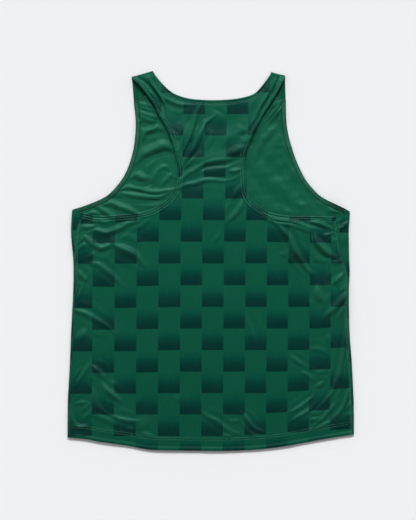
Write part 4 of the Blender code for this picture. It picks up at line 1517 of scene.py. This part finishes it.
class SingletStitching(bpy.types.PropertyGroup):
    """The sewing thread."""

    length: FloatProperty(
        name="Length", description="Length of one stitch", default=2.8 * MM, unit="LENGTH"
    )
    radius: FloatProperty(
        name="Radius", description="Radius of the thread", default=0.28 * MM, unit="LENGTH"
    )
    # painted highlight: the thread's colour where light meets a ply
    colour: FloatVectorProperty(
        name="Colour",
        description="Colour of the thread where light meets it",
        default=linear("#5FA587"),
        subtype="COLOR",
    )
    # painted shade between the thread's plies
    shade: FloatVectorProperty(
        name="Shade",
        description="Colour between the thread's plies",
        default=linear("#2B6C52"),
        subtype="COLOR",
    )


class SingletStage(bpy.types.PropertyGroup):
    """The table top, the lamps and the camera."""

    key: FloatProperty(
        name="Key", description="Strength of the broad lamp past the neck", default=2.45
    )
    sky: FloatProperty(name="Sky", description="Strength of the even light around", default=1.25)
    table: FloatVectorProperty(
        name="Table",
        description="Colour of the table top",
        default=(0.86, 0.865, 0.88),
        subtype="COLOR",
    )


class SINGLET_OT_back_panel(bpy.types.Operator):
    """Lay the printed back panel, with its straps turned over at the shoulders"""

    bl_idname = "singlet.back_panel"
    bl_label = "Back panel"

    def execute(self, context):
        finishes = tricots(context.scene.singlet_cloth)
        edges = BACK_EDGES
        piece, extent, area = shell(
            "back_cloth", back_blocks(), lay_back, back_print, edges, back_worked, finishes
        )
        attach(piece, "root")
        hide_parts("back_panel")
        return {"FINISHED"}


class SINGLET_OT_front_panel(bpy.types.Operator):
    """Lay the front panel face down, with its sides wrapped up and round to the side seams"""

    bl_idname = "singlet.front_panel"
    bl_label = "Front panel"

    def execute(self, context):
        finishes = tricots(context.scene.singlet_cloth)[::-1]
        edges = FRONT_EDGES
        piece, extent, area = shell(
            "front_cloth", front_blocks(), lay_front, front_print, edges, front_worked, finishes
        )
        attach(piece, "root")
        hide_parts("front_panel")
        return {"FINISHED"}


class SINGLET_OT_edge_stitching(bpy.types.Operator):
    """Sew the twin needle rows round the back's armholes and neck"""

    bl_idname = "singlet.edge_stitching"
    bl_label = "Edge stitching"

    def execute(self, context):
        stitching = context.scene.singlet_stitching
        for title, inward, places, first in (
            ("left", -1, ARMHOLE_ROWS, ARMHOLE_START),
            ("right", 1, ARMHOLE_ROWS, ARMHOLE_START),
            ("neck", -1, NECK_ROWS, STRAP_UNDER),
        ):
            curve = BACK_EDGES[title]
            last = run_of(curve)[-1] - STRAP_UNDER
            places = [inward * place for place in places]
            rows = needle_rows(curve, places, first, last, stitching)
            threads(f"{title}_stitches", lay_back, rows, stitching)
        return {"FINISHED"}


class SINGLET_OT_hem_stitching(bpy.types.Operator):
    """Sew the twin needle rows along the hem"""

    bl_idname = "singlet.hem_stitching"
    bl_label = "Hem stitching"

    def execute(self, context):
        stitching = context.scene.singlet_stitching
        x = np.linspace(-HEM_HALF, HEM_HALF, 400)
        curve = np.column_stack([x, hem_height(x)])
        rows = needle_rows(curve, HEM_ROWS, 0, run_of(curve)[-1], stitching)
        threads("hem_stitches", lay_back, rows, stitching, HEM_THREAD)
        return {"FINISHED"}


class SINGLET_OT_inside_stitching(bpy.types.Operator):
    """Sew the inside of the front's armhole edges: a looper thread that zigzags over the turned
    edge between its two needle rows"""

    bl_idname = "singlet.inside_stitching"
    bl_label = "Inside stitching"

    def execute(self, context):
        stitching = context.scene.singlet_stitching
        rows = []
        for title, inward in (("left", -1), ("right", 1)):
            curve = FRONT_EDGES[title]
            last = run_of(curve)[-1] - INSIDE_START
            run = np.arange(INSIDE_START, last, stitching.length)
            places = [inward * place for place in FRONT_ROWS]
            near = inset(curve, run, places[0])
            far = inset(curve, run + stitching.length / 2, places[1])
            rows += [(near[:-1], far[:-1]), (far[:-1], near[1:])]
            rows += needle_rows(curve, places, INSIDE_START, last, stitching)
        threads("inside_looper_thread", lay_front, rows, stitching, FINE_THREAD)
        return {"FINISHED"}


class SINGLET_OT_seam_stitching(bpy.types.Operator):
    """Sew the side seams down the back's edges, and the overlocked shoulder seams inside"""

    bl_idname = "singlet.seam_stitching"
    bl_label = "Seam stitching"

    def execute(self, context):
        stitching = context.scene.singlet_stitching
        for side, ends in SEAM_SEWN.items():
            y = np.linspace(*ends, 300)
            curve = np.column_stack([seam_x(side, y), y])
            places = [-INWARD[side] * place for place in SEAM_ROWS]
            rows = needle_rows(curve, places, 0, run_of(curve)[-1], stitching)
            threads(f"{side}_seam_stitches", lay_back, rows, stitching)
        rows = []
        for seam in SHOULDER_SEAMS:
            outer = seam[0]
            along = (seam[-1] - outer) / np.linalg.norm(seam[-1] - outer)
            down = np.array([along[1], -along[0]]) * (1 if along[0] > 0 else -1)
            run = np.arange(*OVERLOCK_ENDS, stitching.length / 2)[:, None]
            near = outer + run * along + OVERLOCK_IN * down
            rows.append((near, near + OVERLOCK_WIDTH * down + OVERLOCK_LEAN * along))
            rows.append((near[::2], near[::2] + OVERLOCK_CHAIN * along))
        threads("shoulder_overlock", lay_front, rows, stitching, FINE_THREAD)
        return {"FINISHED"}


class SINGLET_OT_stage(bpy.types.Operator):
    """Set the table top, the lamps and the camera straight above"""

    bl_idname = "singlet.stage"
    bl_label = "Stage"

    def execute(self, context):
        stage = context.scene.singlet_stage
        scene = context.scene
        mesh = bpy.data.meshes.new("table_top")
        ways = ((-1, -1), (1, -1), (1, 1), (-1, 1))
        corners = [(x * TABLE_HALF, y * TABLE_HALF, TABLE_LEVEL) for x, y in ways]
        mesh.from_pydata(corners, [], [(0, 1, 2, 3)])
        mesh.materials.append(shared("white_card", white_card, stage))
        placed("table_top", mesh)

        lamp = bpy.data.lights.new("key", "SUN")
        lamp.energy, lamp.angle = stage.key, KEY_SPREAD
        placed("key", lamp).rotation_euler = (KEY_RISE - np.pi / 2, 0.0, KEY_TURN)

        world = bpy.data.worlds.new("studio")
        world.use_nodes = True
        tree = world.node_tree
        tree.nodes.clear()
        way = add(tree, "TexCoord").outputs["Generated"]
        way = add(tree, "SeparateXYZ", (way,)).outputs
        glow = add(tree, "ValToRGB", (way["Z"],))
        fill(glow, [(rise, (level,) * 3) for rise, level in SKY_FADE])
        aside = add(tree, "Math", (way["X"], -np.sin(SKY_TURN)), operation="MULTIPLY")
        ahead = add(tree, "Math", (way["Y"], np.cos(SKY_TURN)), operation="MULTIPLY")
        heading = add(tree, "Math", (aside, ahead), operation="ADD")
        ends = (heading, -SKY_EDGE, SKY_EDGE, SKY_BEHIND * stage.sky, stage.sky)
        side = add(tree, "MapRange", ends, interpolation_type="SMOOTHSTEP")
        light = add(tree, "Background", {"Color": glow, "Strength": side})
        add(tree, "OutputWorld", {"Surface": light})
        scene.world = world
        scene.view_settings.view_transform = "Standard"

        view = bpy.data.cameras.new("camera")
        view.lens = CAMERA_LENS
        scene.camera = placed("camera", view)
        scene.camera.location = CAMERA_PLACE
        return {"FINISHED"}


def white_card(stage):
    """Matt white card: an even pale ground with no gloss."""
    finish, tree, shader = new_finish("white_card", 0.95, "#FFFFFF")
    place = add(tree, "TexCoord").outputs["Object"]
    grain = add(tree, "TexNoise", {"Vector": place, "Scale": 400.0})
    grain = add(tree, "Math", (grain, 0.01), operation="MULTIPLY")
    tone = add(tree, "Math", (0.995, grain), operation="ADD")
    shade = {"Vector": tuple(stage.table), "Scale": tone}
    colour = add(tree, "VectorMath", shade, operation="SCALE")
    tree.links.new(colour.outputs[0], shader.inputs["Base Color"])
    shader.inputs["Specular IOR Level"].default_value = 0.0
    return finish


class SINGLET_PT_panel(bpy.types.Panel):
    """Lists the singlet's pieces and sizes"""

    bl_idname = "SINGLET_PT_panel"
    bl_label = "Running singlet"
    bl_space_type = "VIEW_3D"
    bl_region_type = "UI"
    bl_category = "Singlet"

    def draw(self, context):
        for operator in OPERATORS:
            self.layout.operator(operator.bl_idname)
        for settings in ("singlet_cloth", "singlet_stitching", "singlet_stage"):
            group = getattr(context.scene, settings)
            box = self.layout.box()
            for title in group.__annotations__:
                box.prop(group, title)


OPERATORS = (
    SINGLET_OT_front_panel,
    SINGLET_OT_back_panel,
    SINGLET_OT_edge_stitching,
    SINGLET_OT_hem_stitching,
    SINGLET_OT_inside_stitching,
    SINGLET_OT_seam_stitching,
    SINGLET_OT_stage,
)
CLASSES = (SingletCloth, SingletStitching, SingletStage, *OPERATORS, SINGLET_PT_panel)


def register():
    for each in CLASSES:
        bpy.utils.register_class(each)
    bpy.types.Scene.singlet_cloth = PointerProperty(type=SingletCloth)
    bpy.types.Scene.singlet_stitching = PointerProperty(type=SingletStitching)
    bpy.types.Scene.singlet_stage = PointerProperty(type=SingletStage)


def unregister():
    del bpy.types.Scene.singlet_cloth
    del bpy.types.Scene.singlet_stitching
    del bpy.types.Scene.singlet_stage
    for each in reversed(CLASSES):
        bpy.utils.unregister_class(each)


def main():
    register()
    bpy.ops.singlet.front_panel()
    bpy.ops.singlet.back_panel()
    bpy.ops.singlet.edge_stitching()
    bpy.ops.singlet.hem_stitching()
    bpy.ops.singlet.inside_stitching()
    bpy.ops.singlet.seam_stitching()
    bpy.ops.singlet.stage()


if __name__ == "__main__":
    main()
